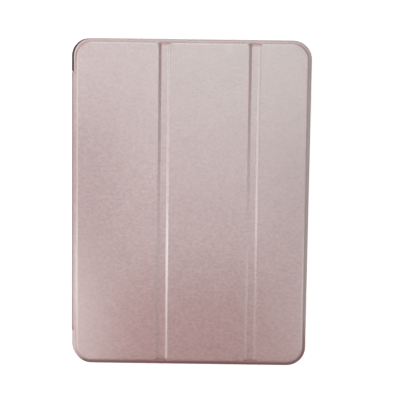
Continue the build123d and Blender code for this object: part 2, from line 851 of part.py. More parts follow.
with BuildPart() as volume_switches:
    with BuildSketch(Plane.XY.offset(floor_z)):
        switch_x = half_width - dome_depth - dome_height - switch_thickness / 2
        with Locations((switch_x, sum(volume_key_y) / 2)):
            Rectangle(switch_thickness, volume_key_y[0] - volume_key_y[1] + key_length)
    extrude(amount=switch_height)
    with BuildSketch(right_edge(dome_depth)):
        with Locations(*[(y, edge_z) for y in volume_key_y]):
            Circle(1.1)
    extrude(amount=-dome_height)
volume_switches.part.label = "volume_switches"
export_step(volume_switches.part, "parts/volume_switches.step")

# ---------------------------------------------------------------------------------------------------------
# Case: hard shell and the leather on its back
# ---------------------------------------------------------------------------------------------------------

shell_half_length = shell_length / 2
shell_reach = shell_half_length - half_length + 1  # from the tablet's edge to just outside the shell

with BuildPart() as rear_shell:
    extrude(
        upright(0, shell_left_x, shell_width / 2, shell_half_length, shell_left_radius, shell_radius),
        amount=shell_top_z,
    )
    fillet(rear_shell.edges().group_by(Axis.Z)[0], shell_back_round)
    fillet(rear_shell.edges().group_by(Axis.Z)[-1], shell_top_round)
    # the tablet's space, and the narrower mouth inside the retaining lip
    with BuildSketch(Plane.XY.offset(shell_back)):
        RectangleRounded(
            tablet_width + 2 * shell_gap,
            tablet_length + 2 * shell_gap,
            tablet_radius + shell_gap,
        )
    extrude(amount=lip_z - shell_back, mode=Mode.SUBTRACT)
    with BuildSketch(Plane.XY.offset(lip_z)):
        RectangleRounded(
            tablet_width - 2 * shell_lip,
            tablet_length - 2 * shell_lip,
            tablet_radius - shell_lip,
        )
    extrude(amount=shell_lip_height, mode=Mode.SUBTRACT)
    # the left side is set back along the spine
    with BuildSketch():
        with Locations((-shell_width / 2, 0)):
            Rectangle(
                2 * shell_wall, spine_length + 2 * spine_recess_gap, align=(Align.MAX, Align.CENTER)
            )
    extrude(amount=shell_top_z, mode=Mode.SUBTRACT)
    # shallow recess for the leather, and the opening around the camera
    extrude(back_inlay(inlay_gap, spine_outer_x - 1), amount=leather_thickness, mode=Mode.SUBTRACT)
    extrude(camera_slot(0, 0), amount=shell_back, mode=Mode.SUBTRACT)
    # windows in the walls: keys, microphone, speakers and socket
    with BuildSketch(top_edge(-shell_reach)):
        with Locations((power_key_x, edge_z)):
            SlotOverall(key_length + 2 * shell_key_window_reach, shell_key_window_height)
        with Locations((-speaker_x, edge_z), (speaker_x, edge_z)):
            SlotOverall(sound_hole_pitch * sound_hole_count + 2, shell_sound_window_height)
        with Locations((top_microphone_x, microphone_z)):
            Circle(shell_microphone_window_radius)
    extrude(amount=shell_reach, mode=Mode.SUBTRACT)
    with BuildSketch(bottom_edge(-shell_reach)):
        with Locations((0, edge_z)):
            SlotOverall(*shell_socket_window)
        with Locations((-speaker_x, edge_z), (speaker_x, edge_z)):
            SlotOverall(sound_hole_pitch * sound_hole_count + 2, shell_sound_window_height)
    extrude(amount=-shell_reach, mode=Mode.SUBTRACT)
    with BuildSketch(right_edge(-shell_reach)):
        with Locations((sum(volume_key_y) / 2, edge_z)):
            SlotOverall(
                volume_key_y[0] - volume_key_y[1] + key_length + 2 * shell_key_window_reach,
                shell_key_window_height,
            )
    extrude(amount=-shell_reach, mode=Mode.SUBTRACT)
rear_shell.part.label = "rear_shell"
export_step(rear_shell.part, "parts/rear_shell.step")

with BuildPart() as back_leather:
    extrude(back_inlay(0, hinge_x + hinge_gap), amount=leather_thickness)
    extrude(camera_slot(0, inlay_camera_margin), amount=leather_thickness, mode=Mode.SUBTRACT)
back_leather.part.label = "back_leather"
export_step(back_leather.part, "parts/back_leather.step")

# ---------------------------------------------------------------------------------------------------------
# Case: spine
# ---------------------------------------------------------------------------------------------------------

# The spine stands upright between the two hinge lines, one leather thickness clear of each.
spine_low_z = leather_thickness + hinge_gap
spine_high_z = cover_z - hinge_gap
spine_inner_low_z = spine_low_z + 0.4
spine_inner_high_z = spine_high_z - 0.6
spine_leather_end_x = spine_outer_x + leather_thickness
spine_board_end_x = spine_leather_end_x + spine_board_thickness


def spine_layer(x, thickness, low_z, high_z, length):
    """An upright strip of the spine, from x towards +X."""
    with BuildSketch(Plane.YZ.offset(x)) as shape:
        with Locations((0, (low_z + high_z) / 2)):
            RectangleRounded(length, high_z - low_z, 0.25)
    return extrude(shape.sketch, amount=thickness)


with BuildPart() as spine_leather:
    spine_layer(spine_outer_x, leather_thickness, spine_low_z, spine_high_z, spine_length)
spine_leather.part.label = "spine_leather"
export_step(spine_leather.part, "parts/spine_leather.step")

with BuildPart() as spine_board:
    spine_layer(
        spine_leather_end_x, spine_board_thickness, spine_inner_low_z, spine_inner_high_z, spine_length - 3
    )
spine_board.part.label = "spine_board"
export_step(spine_board.part, "parts/spine_board.step")

with BuildPart() as spine_lining:
    spine_layer(
        spine_board_end_x, spine_lining_thickness, spine_inner_low_z, spine_inner_high_z, spine_length - 1
    )
spine_lining.part.label = "spine_lining"
export_step(spine_lining.part, "parts/spine_lining.step")

# ---------------------------------------------------------------------------------------------------------
# Case: the three cover panels
# ---------------------------------------------------------------------------------------------------------


def cover_magnets(label, x):
    """A row of flat magnets that lie in pockets of a panel's board."""
    with BuildPart() as row:
        with BuildSketch(Plane.XY.offset(cover_z)):
            with Locations(*[(x, y) for y in cover_magnet_y]):
                RectangleRounded(cover_magnet_width, cover_magnet_length, 0.4)
        extrude(amount=cover_magnet_thickness)
    row.part.label = label
    export_step(row.part, f"parts/{label}.step")


def magnet_pockets(x):
    """Openings of a board around a row of cover magnets."""
    with BuildSketch(Plane.XY.offset(cover_z)) as shape:
        with Locations(*[(x, y) for y in cover_magnet_y]):
            RectangleRounded(
                cover_magnet_width + 2 * magnet_clearance,
                cover_magnet_length + 2 * magnet_clearance,
                0.4 + magnet_clearance,
            )
    return shape.sketch


def panel(label, sheet, foot, flat, pocket=None):
    """Leather, board and lining of one cover panel.

    sheet, foot and flat are (left x, right x, left corner radius, right corner radius) of the pressed sheet,
    of the line where the bevel starts and of the flat on top. The leather is one solid that follows the board.
    """
    sheet_outline = upright(cover_z, sheet[0], sheet[1], case_length / 2, sheet[2], sheet[3])
    foot_outline = upright(fold_z, foot[0], foot[1], foot_half_length, foot[2], foot[3])
    flat_outline = upright(panel_top_z, flat[0], flat[1], flat_half_length, flat[2], flat[3])
    board_outline = upright(cover_z, flat[0], flat[1], flat_half_length, flat[2], flat[3])

    with BuildPart() as leather:
        extrude(sheet_outline, amount=leather_thickness)
        if label == "panel_1":
            # the hinge strip that runs out to the spine
            with BuildSketch(Plane.XY.offset(cover_z)):
                with Locations(((hinge_x + hinge_gap + foot[0]) / 2, 0)):
                    Rectangle(foot[0] - hinge_x - hinge_gap, spine_length)
            extrude(amount=leather_thickness)
        loft([foot_outline, flat_outline])
        extrude(board_outline, amount=board_thickness, mode=Mode.SUBTRACT)
    leather.part.label = f"{label}_leather"
    export_step(leather.part, f"parts/{label}_leather.step")

    with BuildPart() as board:
        extrude(board_outline, amount=board_thickness)
        if pocket is not None:
            extrude(pocket, amount=cover_magnet_thickness, mode=Mode.SUBTRACT)
    board.part.label = f"{label}_board"
    export_step(board.part, f"parts/{label}_board.step")

    left_inset = lining_inset if sheet[2] > 0 else 0
    right_inset = lining_inset if sheet[3] > 0 else 0
    lining_outline = upright(
        lining_z,
        sheet[0] + left_inset,
        sheet[1] - right_inset,
        case_length / 2 - lining_inset,
        max(sheet[2] - lining_inset, 0),
        max(sheet[3] - lining_inset, 0),
    )
    with BuildPart() as lining:
        extrude(lining_outline, amount=lining_thickness)
    lining.part.label = f"{label}_lining"
    export_step(lining.part, f"parts/{label}_lining.step")


def beside_fold(fold_x, side):
    """Sheet end, bevel foot and flat edge of the panel on one side of a fold; side is -1 (left) or +1."""
    foot_x = fold_x + side * channel_half_width
    return fold_x + side * fold_half_gap, foot_x, foot_x + side * fold_bevel


sheet_1, foot_1, flat_1 = beside_fold(fold_1_x, -1)
sheet_2_left, foot_2_left, flat_2_left = beside_fold(fold_1_x, 1)
sheet_2_right, foot_2_right, flat_2_right = beside_fold(fold_2_x, -1)
sheet_3, foot_3, flat_3 = beside_fold(fold_2_x, 1)
foot_left_x = cover_left_x + 1.2
flat_left_x = foot_left_x + spine_bevel
foot_right_x = case_right_x - edge_flange + 0.1
flat_right_x = foot_right_x - edge_bevel

# round pocket of the wake magnet, next to the closing magnets
with BuildSketch(Plane.XY.offset(cover_z)) as wake_pocket:
    with Locations(wake_magnet_place):
        Circle(wake_magnet_radius + magnet_clearance)

panel(
    "panel_1",
    sheet=(cover_left_x, sheet_1, left_corner_radius, 0),
    foot=(foot_left_x, foot_1, foot_corner_radius, fold_corner_radius),
    flat=(flat_left_x, flat_1, flat_corner_radius, fold_corner_radius),
    pocket=magnet_pockets(stand_magnet_x),
)
panel(
    "panel_2",
    sheet=(sheet_2_left, sheet_2_right, 0, 0),
    foot=(foot_2_left, foot_2_right, fold_corner_radius, fold_corner_radius),
    flat=(flat_2_left, flat_2_right, fold_corner_radius, fold_corner_radius),
)
panel(
    "panel_3",
    sheet=(sheet_3, case_right_x, 0, case_radius),
    foot=(foot_3, foot_right_x, fold_corner_radius, foot_corner_radius),
    flat=(flat_3, flat_right_x, fold_corner_radius, flat_corner_radius),
    pocket=magnet_pockets(closing_magnet_x) + wake_pocket.sketch,
)

cover_magnets("stand_magnets", stand_magnet_x)
cover_magnets("closing_magnets", closing_magnet_x)

with BuildPart() as wake_magnet:
    with BuildSketch(Plane.XY.offset(cover_z)):
        with Locations(wake_magnet_place):
            Circle(wake_magnet_radius)
    extrude(amount=cover_magnet_thickness)
wake_magnet.part.label = "wake_magnet"
export_step(wake_magnet.part, "parts/wake_magnet.step")
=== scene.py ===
import json
import math
from collections import namedtuple

import bmesh
import bpy
import numpy as np
from mathutils import Matrix, Vector, noise
from mathutils.geometry import delaunay_2d_cdt

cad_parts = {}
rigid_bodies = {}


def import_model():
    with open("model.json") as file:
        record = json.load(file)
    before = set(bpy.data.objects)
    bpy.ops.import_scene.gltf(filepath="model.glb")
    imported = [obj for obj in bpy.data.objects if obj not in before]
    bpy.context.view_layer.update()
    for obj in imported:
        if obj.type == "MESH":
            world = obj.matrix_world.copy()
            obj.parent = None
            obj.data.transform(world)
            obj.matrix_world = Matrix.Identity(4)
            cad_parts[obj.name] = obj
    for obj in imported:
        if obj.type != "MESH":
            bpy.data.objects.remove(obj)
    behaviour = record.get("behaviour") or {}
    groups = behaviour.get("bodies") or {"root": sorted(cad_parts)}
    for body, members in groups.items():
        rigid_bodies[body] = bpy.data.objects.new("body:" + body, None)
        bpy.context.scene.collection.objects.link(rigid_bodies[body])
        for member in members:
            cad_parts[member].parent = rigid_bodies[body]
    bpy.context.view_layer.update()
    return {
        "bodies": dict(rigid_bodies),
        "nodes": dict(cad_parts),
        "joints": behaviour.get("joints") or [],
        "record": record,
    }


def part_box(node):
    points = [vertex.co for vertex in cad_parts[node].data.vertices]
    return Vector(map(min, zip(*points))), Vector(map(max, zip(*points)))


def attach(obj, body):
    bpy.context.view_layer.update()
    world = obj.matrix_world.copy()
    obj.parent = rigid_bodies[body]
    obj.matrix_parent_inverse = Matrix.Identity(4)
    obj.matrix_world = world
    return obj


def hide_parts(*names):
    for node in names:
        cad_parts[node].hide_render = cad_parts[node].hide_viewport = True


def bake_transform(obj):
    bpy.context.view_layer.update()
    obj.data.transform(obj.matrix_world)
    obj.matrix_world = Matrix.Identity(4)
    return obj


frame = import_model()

# Looks of a tablet computer that lies in a closed tri-fold folio case.
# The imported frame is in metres. Shapes are worked out in millimetres and scaled when a mesh is made.
MM = 0.001


# ----------------------------------------------------------------------
# Measures read from the frame, in millimetres
# ----------------------------------------------------------------------


def box_mm(node):
    """Lowest and highest corner of a CAD node, in millimetres."""
    low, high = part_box(node)
    return low / MM, high / MM


JOINT_AT = {j["name"]: Vector(j["pos_m"]) / MM for j in frame["joints"] if "pos_m" in j}
HALF_LENGTH = box_mm("panel_2_leather")[1].y
COVER_Z = box_mm("panel_2_leather")[0].z  # underside of the leather
TOP_Z = box_mm("panel_2_leather")[1].z  # flat of the panels
LINING_Z = box_mm("panel_2_lining")[0].z
FLAT_HALF = box_mm("panel_2_board")[1].y
CASE_RIGHT = box_mm("panel_3_leather")[1].x
CASE_LEFT = box_mm("spine_leather")[0].x
LINING_INSET = 0.3  # the lining ends this far inside the edge of the leather
COVER_LEFT = box_mm("panel_1_lining")[0].x - LINING_INSET  # edge of the cover above and below the spine
SPINE_HALF = box_mm("spine_leather")[1].y
FOLD_1 = JOINT_AT["fold_1"]
FOLD_2 = JOINT_AT["fold_2"]
BACK_HINGE = JOINT_AT["spine_hinge"]
COVER_HINGE = JOINT_AT["cover_hinge"]

LEATHER = 0.6  # thickness of the leather
SHEET_Z = COVER_Z + LEATHER - 0.05  # top of the pressed leather beside the panels
CHANNEL_HALF = 2.0  # half width of the pressed channel over a fold
CHANNEL_EXTRA = 0.55  # the bevel on the right of a channel starts this much further out
FOLD_BEVEL = 2.5  # width of a panel's bevel beside a fold
EDGE_BEVEL = 1.3  # width of its bevel at the outer edges
CASE_RADIUS = 14.7  # corners of the cover on the right
EDGE_RADIUS_LEFT = 13.9  # and on the left, above and below the spine
TIGHT = 0.12  # smallest radius of a corner


# ----------------------------------------------------------------------
# Mesh helpers
# ----------------------------------------------------------------------

Outline = namedtuple("Outline", "left right half left_radius right_radius")
ARC_STEPS = 10
SIDE_X_STEPS = 12
SIDE_Y_STEPS = 84


def inset(o, d):
    """The outline moved inwards by d on every side."""
    return Outline(o.left + d, o.right - d, o.half - d, o.left_radius - d, o.right_radius - d)


def between(a, b, t):
    """The outline a share t of the way from a to b."""
    return Outline(*[p + (q - p) * t for p, q in zip(a, b)])


def ring(o, z):
    """Points round an outline at height z, anticlockwise, starting at the middle of its lower side."""
    corners = [
        (o.right, -o.half, -1, 1, o.right_radius, -90),
        (o.right, o.half, -1, -1, o.right_radius, 0),
        (o.left, o.half, 1, -1, o.left_radius, 90),
        (o.left, -o.half, 1, 1, o.left_radius, 180),
    ]
    arcs = []
    for x, y, side_x, side_y, radius, start in corners:
        r = max(radius, TIGHT)
        a = np.radians(start + np.linspace(0, 90, ARC_STEPS + 1))
        arcs.append(np.stack([x + side_x * r + r * np.cos(a), y + side_y * r + r * np.sin(a)], 1))
    points = []
    for i, arc in enumerate(arcs):
        steps = SIDE_Y_STEPS if i % 2 == 0 else SIDE_X_STEPS
        following = arcs[(i + 1) % 4][0]
        share = np.linspace(0, 1, steps + 1)[1:-1, None]
        points += [arc, arc[-1] + (following - arc[-1]) * share]
    points = np.roll(np.concatenate(points), SIDE_X_STEPS // 2, axis=0)
    return np.column_stack([points, np.full(len(points), z)])


SPINE_SHADE = 0.9  # strength of the painted shade on the side of the spine beside the edge of the cover


def store(mesh, label, amounts):
    """Keeps one number for each point of a mesh, for its material to read."""
    values = mesh.attributes.new(label, "FLOAT", "POINT")
    values.data.foreach_set("value", amounts)


def mark_edge_shade(mesh, points):
    """Stores how much painted shade each point gets: on the hot-pressed outer edge of the cover, fading out
    towards its left side, and on the side of the spine.
    """
    depth = np.clip((SHEET_Z - 0.05 - points[:, 2]) / 0.06, 0, 1)
    on_cover = depth * np.clip((points[:, 0] - COVER_LEFT - 2.0) / 6.0, 0, 1)
    on_spine = SPINE_SHADE * np.clip((COVER_LEFT + 0.3 - points[:, 0]) / 0.4, 0, 1)
    store(mesh, "pressed", np.maximum(on_cover, on_spine))


def from_corner(points):
    """Offsets from the centre of the cover's upper left corner, kept to the corner's own quarter."""
    return np.column_stack([
        np.minimum(0, points[:, 0] - COVER_LEFT - EDGE_RADIUS_LEFT),
        np.maximum(0, points[:, 1] - HALF_LENGTH + EDGE_RADIUS_LEFT),
    ])


def mark_painted_shadow(mesh, points):
    """Stores where the lining stands out past the leather; it is painted near-black there as shadow."""
    reach = np.linalg.norm(from_corner(points), axis=1)
    store(mesh, "painted_shadow", np.clip((reach - EDGE_RADIUS_LEFT) / 0.3, 0, 1))


SHARP_ANGLE = math.radians(40)


def mesh_object(name, points, faces, material):
    """An object from points in millimetres, smooth apart from edges sharper than SHARP_ANGLE."""
    mesh = bpy.data.meshes.new(name)
    mesh.from_pydata((np.asarray(points) * MM).tolist(), [], faces)
    if material.name.startswith("rose_leather"):
        mark_edge_shade(mesh, np.asarray(points))
    elif name == "panel_1_inner_cloth":
        mark_painted_shadow(mesh, np.asarray(points))
    mesh.validate()
    mesh.update()
    mesh.shade_smooth()
    mesh.set_sharp_from_angle(angle=SHARP_ANGLE)
    obj = bpy.data.objects.new(name, mesh)
    bpy.context.scene.collection.objects.link(obj)
    obj.data.materials.append(material)
    return obj


def ladder(first, count, flip):
    """Faces that close a ring of count points, rung by rung across its width."""
    half = count // 2
    faces = [(0, 1, count - 1), (half - 1, half, half + 1)]
    faces += [(k, k + 1, count - k - 1, count - k) for k in range(1, half - 1)]
    return [tuple(first + i for i in (reversed(f) if flip else f)) for f in faces]


def sides(first, count, rings):
    """Faces between neighbouring rings of count points each; first is the index of their first point."""
    faces = []
    for a in range(first, first + (rings - 1) * count, count):
        b = a + count
        faces += [(a + i, a + (i + 1) % count, b + (i + 1) % count, b + i) for i in range(count)]
    return faces


def closed_rings(name, rings, material, shape):
    """A closed body from rings that run from the middle of one side, round its edge, to the other.

    shape(points) gives the points in their final places.
    """
    count = len(rings[0])
    faces = ladder(0, count, True) + sides(0, count, len(rings))
    faces += ladder((len(rings) - 1) * count, count, False)
    return mesh_object(name, shape(np.concatenate(rings)), faces, material)


def strip_body(name, outer, inner, stations, material, trim=None):
    """A closed band along Y: outer and inner are matching (x, z) paths, stations the Y places.

    trim(y, outer, inner) may return changed paths at a station.
    """
    rows = []
    for y in stations:
        a, b = (outer, inner) if trim is None else trim(y, outer, inner)
        path = np.concatenate([a, b[::-1]])
        rows.append(np.column_stack([path[:, 0], np.full(len(path), y), path[:, 1]]))
    count = len(rows[0])
    faces = sides(0, count, len(rows))
    last = (len(rows) - 1) * count
    for k in range(count // 2 - 1):
        quad = (k, count - 1 - k, count - 2 - k, k + 1)
        faces.append(quad[::-1])
        faces.append(tuple(last + i for i in quad))
    obj = mesh_object(name, np.concatenate(rows), faces, material)
    fix_normals(obj)
    return obj


def fix_normals(obj):
    """Gives all faces of a closed mesh the same winding."""
    work = bmesh.new()
    work.from_mesh(obj.data)
    bmesh.ops.recalc_face_normals(work, faces=work.faces)
    work.to_mesh(obj.data)
    work.free()


def rough(x, y, size, seed):
    """Smooth noise between about -1 and 1 over x and y, with features of the given size in millimetres."""
    return noise.noise(Vector((x / size, y / size, seed)))


def hump(distance, width):
    """1 at distance 0, falling off smoothly on both sides over about the given width."""
    return np.exp(-((distance / width) ** 2))


def eased(share):
    """A share from 0 to 1 with a soft start and a soft end."""
    return share * share * (3 - 2 * share)


# ----------------------------------------------------------------------
# Materials
# ----------------------------------------------------------------------


class Shader:
    """A node material with one Principled shader, and short names for the nodes it's built from."""

    def __init__(self, name, **inputs):
        self.material = bpy.data.materials.new(name)
        self.material.use_nodes = True
        self.tree = self.material.node_tree
        self.principled = self.tree.nodes["Principled BSDF"]
        self.place = self.add("ShaderNodeTexCoord").outputs["Object"]
        for socket, value in inputs.items():
            self.set(socket.replace("_", " "), value)

    def add(self, kind, inputs=None, **settings):
        node = self.tree.nodes.new(kind)
        for key, value in settings.items():
            setattr(node, key, value)
        for key, value in (inputs or {}).items():
            self.feed(node.inputs[key], value)
        return node

    def feed(self, socket, value):
        if isinstance(value, bpy.types.NodeSocket):
            self.tree.links.new(value, socket)
        elif socket.type == "RGBA" and len(value) == 3:
            socket.default_value = (*value, 1.0)
        else:
            socket.default_value = value

    def set(self, socket, value):
        self.feed(self.principled.inputs[socket], value)

    def stretched(self, scale):
        return self.add("ShaderNodeMapping", {"Vector": self.place, "Scale": scale}).outputs["Vector"]

    def noise(self, size, detail=2.0, roughness=0.5, place=None):
        """Noise whose features are about size millimetres across."""
        inputs = {"Vector": place or self.place, "Scale": 1 / (size * MM)}
        inputs.update({"Detail": detail, "Roughness": roughness})
        return self.add("ShaderNodeTexNoise", inputs).outputs["Fac"]

    def cells(self, size, feature="F1", randomness=1.0):
        """Distance to the middle or the edge of cells that are size millimetres across."""
        inputs = {"Vector": self.place, "Scale": 1 / (size * MM), "Randomness": randomness}
        return self.add("ShaderNodeTexVoronoi", inputs, feature=feature).outputs["Distance"]

    def math(self, operation, a, b=0.0, clamp=False):
        node = self.add("ShaderNodeMath", operation=operation, use_clamp=clamp)
        self.feed(node.inputs[0], a)
        self.feed(node.inputs[1], b)
        return node.outputs[0]

    def plus(self, a, b, clamp=False):
        return self.math("ADD", a, b, clamp)

    def minus(self, a, b):
        return self.math("SUBTRACT", a, b)

    def times(self, a, b, clamp=False):
        return self.math("MULTIPLY", a, b, clamp)

    def map(self, value, low, high, to_low, to_high, smooth=False):
        kind = "SMOOTHSTEP" if smooth else "LINEAR"
        inputs = {"Value": value, "From Min": low, "From Max": high, "To Min": to_low, "To Max": to_high}
        return self.add("ShaderNodeMapRange", inputs, interpolation_type=kind, clamp=True).outputs["Result"]

    def ramp(self, value, low, high, to_low=0.0, to_high=1.0):
        """A soft change over a distance, from low to high in millimetres."""
        return self.map(value, low * MM, high * MM, to_low, to_high, True)

    def stored(self, label):
        """A number that the mesh keeps for each of its points."""
        return self.add("ShaderNodeAttribute", attribute_name=label).outputs["Fac"]

    def mix(self, share, a, b, blend="MIX"):
        node = self.add("ShaderNodeMix", data_type="RGBA", blend_type=blend)
        self.feed(node.inputs[0], share)
        self.feed(node.inputs[6], a)
        self.feed(node.inputs[7], b)
        return node.outputs[2]

    def distance(self, a, b):
        node = self.add("ShaderNodeVectorMath", operation="DISTANCE")
        self.feed(node.inputs[0], a)
        self.feed(node.inputs[1], b)
        return node.outputs["Value"]

    def bump(self, height, depth, normal=None):
        """Bump whose full height is depth millimetres."""
        node = self.add("ShaderNodeBump", {"Height": height, "Distance": depth * MM, "Strength": 1.0})
        if normal is not None:
            self.feed(node.inputs["Normal"], normal)
        return node.outputs["Normal"]


# Leather: its tones lie between BASE_DARK and BASE_LIGHT, and the others paint light and shade over them in
# places.
BASE_DARK = (0.310, 0.148, 0.147)
BASE_LIGHT = (0.415, 0.222, 0.220)
PAINTED_LIGHT_TONE = (0.50, 0.36, 0.355)
PAINTED_LIGHT_SHARE = 0.55
LOW_MIDDLE_SHADE_TINT = (0.935, 0.88, 0.875)
LOW_MIDDLE_SHADE_SHARE = 0.9
LONG_EDGE_SHADE_SHARE = 0.15
PAINTED_SHADE_TONE = (0.20, 0.100, 0.095)
CREASE_SHADE_SHARE = 0.6
RIDGE_HIGHLIGHT_SHARE = 0.8
BLACK = (0.0, 0.0, 0.0)
# Its coat: strength and tint of the shine, and how much of it is taken off where the painted shade lies at
# the middle of the lower end and beside the long edges.
COAT = 0.88
COAT_TINT = (0.80, 1.0, 0.98, 1.0)
LOW_MIDDLE_SHADE_COAT_LOSS = 0.22
LONG_EDGE_SHADE_COAT_LOSS = 0.16
MIDDLE_Y = 8  # the painted shade beside the long edges is strongest at this Y


def leather_tone(s, grain):
    """Mostly fine grain, with some of the broader blotches and clouds."""
    blotch = s.noise(9.0, 3.0, 0.6)
    cloud = s.noise(38.0, 2.0, 0.5)
    tone = s.plus(s.times(grain, 0.75), s.times(blotch, 0.20))
    return s.plus(tone, s.times(cloud, 0.05))


def painted_light_zones(s, x, y):
    """Where light and shade are painted on the leather, as shares: paler towards the lower ends of the long
    edges, shaded at the middle of the lower end and beside the middle of the long edges.
    """
    side = s.ramp(s.math("ABSOLUTE", x), 35, 95)
    # painted light: paler towards the lower ends of the two long edges, less on the right one
    pale = s.times(s.times(side, s.ramp(y, 10, -110)), PAINTED_LIGHT_SHARE)
    pale = s.times(pale, s.ramp(x, 0, 50, 1.0, 0.4))
    # painted shade at the middle of the lower end
    low_middle_shade = s.times(s.ramp(y, -20, -100), s.map(side, 0.0, 1.0, 1.0, 0.35))
    # painted shade beside the middle of the two long edges, mostly the one at the spine
    edges = s.plus(s.ramp(x, -30, -80), s.ramp(x, 50, 85, 0.0, 0.5))
    level = s.math("ABSOLUTE", s.minus(y, MIDDLE_Y * MM))
    long_edge_shade = s.times(edges, s.ramp(level, 20, 105, 1.0, 0.0))
    return pale, low_middle_shade, long_edge_shade


def edge_shade(s, y, pressed):
    """How dark the painted shade on the pressed edge is, and how much of its coat is gone; both grow from
    the upper end down.
    """
    painted_share = s.ramp(y, 122, 110, 0.0, 0.75)
    lower = s.ramp(y, -85, -115)
    dark = s.times(pressed, s.plus(painted_share, s.times(lower, 0.25)), clamp=True)
    duller = s.plus(s.times(painted_share, 0.27), s.times(lower, 0.4))
    return dark, s.times(pressed, duller)


def leather_relief(s):
    """Soft dents, small wrinkles, pebbles and fine grain, each on top of the one before."""
    normal = s.bump(s.noise(4.5, 2.0, 0.5), 0.035)
    normal = s.bump(s.noise(1.3, 2.0, 0.6), 0.030, normal)
    normal = s.bump(s.minus(1.0, s.cells(0.85, "SMOOTH_F1")), 0.040, normal)
    return s.bump(s.noise(0.28, 3.0, 0.6), 0.010, normal)


def leather():
    """Pearly coated synthetic leather: fine pebbles, soft blotches and a pale sheen over a pink base, with
    light and shade painted into its colour in places.
    """
    s = Shader("rose_leather", IOR=2.0, Specular_Tint=COAT_TINT)
    place = s.add("ShaderNodeSeparateXYZ", {"Vector": s.place}).outputs
    grain = s.noise(2.0, 3.0, 0.6, s.stretched((0.8, 1.0, 1.0)))
    pale, low_middle_shade, long_edge_shade = painted_light_zones(s, place["X"], place["Y"])
    dark, edge_coat_loss = edge_shade(s, place["Y"], s.stored("pressed"))
    colour = s.mix(s.map(leather_tone(s, grain), 0.36, 0.64, 0.0, 1.0), BASE_DARK, BASE_LIGHT)
    # painted light: paler towards the lower ends of the long edges
    colour = s.mix(pale, colour, PAINTED_LIGHT_TONE)
    # painted shade at the middle of the lower end
    colour = s.mix(s.times(low_middle_shade, LOW_MIDDLE_SHADE_SHARE), colour, LOW_MIDDLE_SHADE_TINT, "MULTIPLY")
    # painted shade: darker towards black beside the middle of the long edges
    colour = s.mix(s.times(long_edge_shade, LONG_EDGE_SHADE_SHARE), colour, BLACK)
    # painted highlight along the ridge at the top of the bevels
    colour = s.mix(s.times(s.stored("ridge"), RIDGE_HIGHLIGHT_SHARE), colour, PAINTED_LIGHT_TONE)
    # painted shade in the crease at the foot of the bevels
    dark = s.plus(dark, s.times(s.stored("crease"), CREASE_SHADE_SHARE), clamp=True)
    # painted shade on the pressed edge and the side of the spine
    s.set("Base Color", s.mix(dark, colour, PAINTED_SHADE_TONE))
    coat = s.minus(COAT, s.times(low_middle_shade, LOW_MIDDLE_SHADE_COAT_LOSS))
    coat = s.minus(coat, s.times(long_edge_shade, LONG_EDGE_SHADE_COAT_LOSS))
    s.set("Specular IOR Level", s.minus(coat, edge_coat_loss))
    s.set("Roughness", s.map(grain, 0.3, 0.7, 0.33, 0.42))
    s.set("Normal", leather_relief(s))
    return s.material


def lining():
    """Brushed microfibre: short nap with a soft sheen and faint brush marks."""
    s = Shader("lining_cloth", Roughness=0.92, Sheen_Weight=0.3, Sheen_Roughness=0.45)
    nap = s.noise(0.35, 4.0, 0.7)
    brushed = s.noise(6.0, 3.0, 0.6, s.stretched((1.0, 0.35, 1.0)))
    tone = s.plus(s.times(nap, 0.75), s.times(brushed, 0.25))
    cloth = s.mix(s.map(tone, 0.35, 0.65, 0, 1), (0.185, 0.130, 0.127), (0.250, 0.183, 0.178))
    # painted shadow: near-black, without sheen, where the lining stands out at the corner above the spine
    painted_shadow = s.stored("painted_shadow")
    s.set("Base Color", s.mix(painted_shadow, cloth, (0.045, 0.030, 0.030)))
    s.set("Sheen Weight", s.map(painted_shadow, 0.0, 1.0, 0.3, 0.0))
    s.set("Sheen Tint", (0.9, 0.82, 0.8))
    s.set("Normal", s.bump(nap, 0.05, s.bump(brushed, 0.02)))
    return s.material


def shell_plastic():
    """Glossy moulded shell with a pearl tint and the faint ripple of a moulding."""
    s = Shader("shell_plastic", Specular_IOR_Level=0.6, Coat_Weight=0.6, Coat_Roughness=0.06)
    flake = s.noise(0.5, 3.0, 0.6)
    cloud = s.noise(30.0, 2.0)
    s.set("Base Color", s.mix(s.map(cloud, 0.35, 0.65, 0, 1), (0.47, 0.38, 0.375), (0.53, 0.44, 0.43)))
    s.set("Roughness", s.map(flake, 0.3, 0.7, 0.16, 0.26))
    s.set("Normal", s.bump(s.noise(3.0, 1.0), 0.006))
    return s.material


def aluminium(name, dark, light):
    """Bead-blasted, anodised aluminium."""
    s = Shader(name, Metallic=1.0)
    blast = s.noise(0.12, 2.0, 0.6)
    s.set("Base Color", s.mix(s.noise(14.0, 2.0), dark, light))
    s.set("Roughness", s.map(blast, 0.3, 0.7, 0.30, 0.42))
    s.set("Normal", s.bump(blast, 0.004))
    return s.material


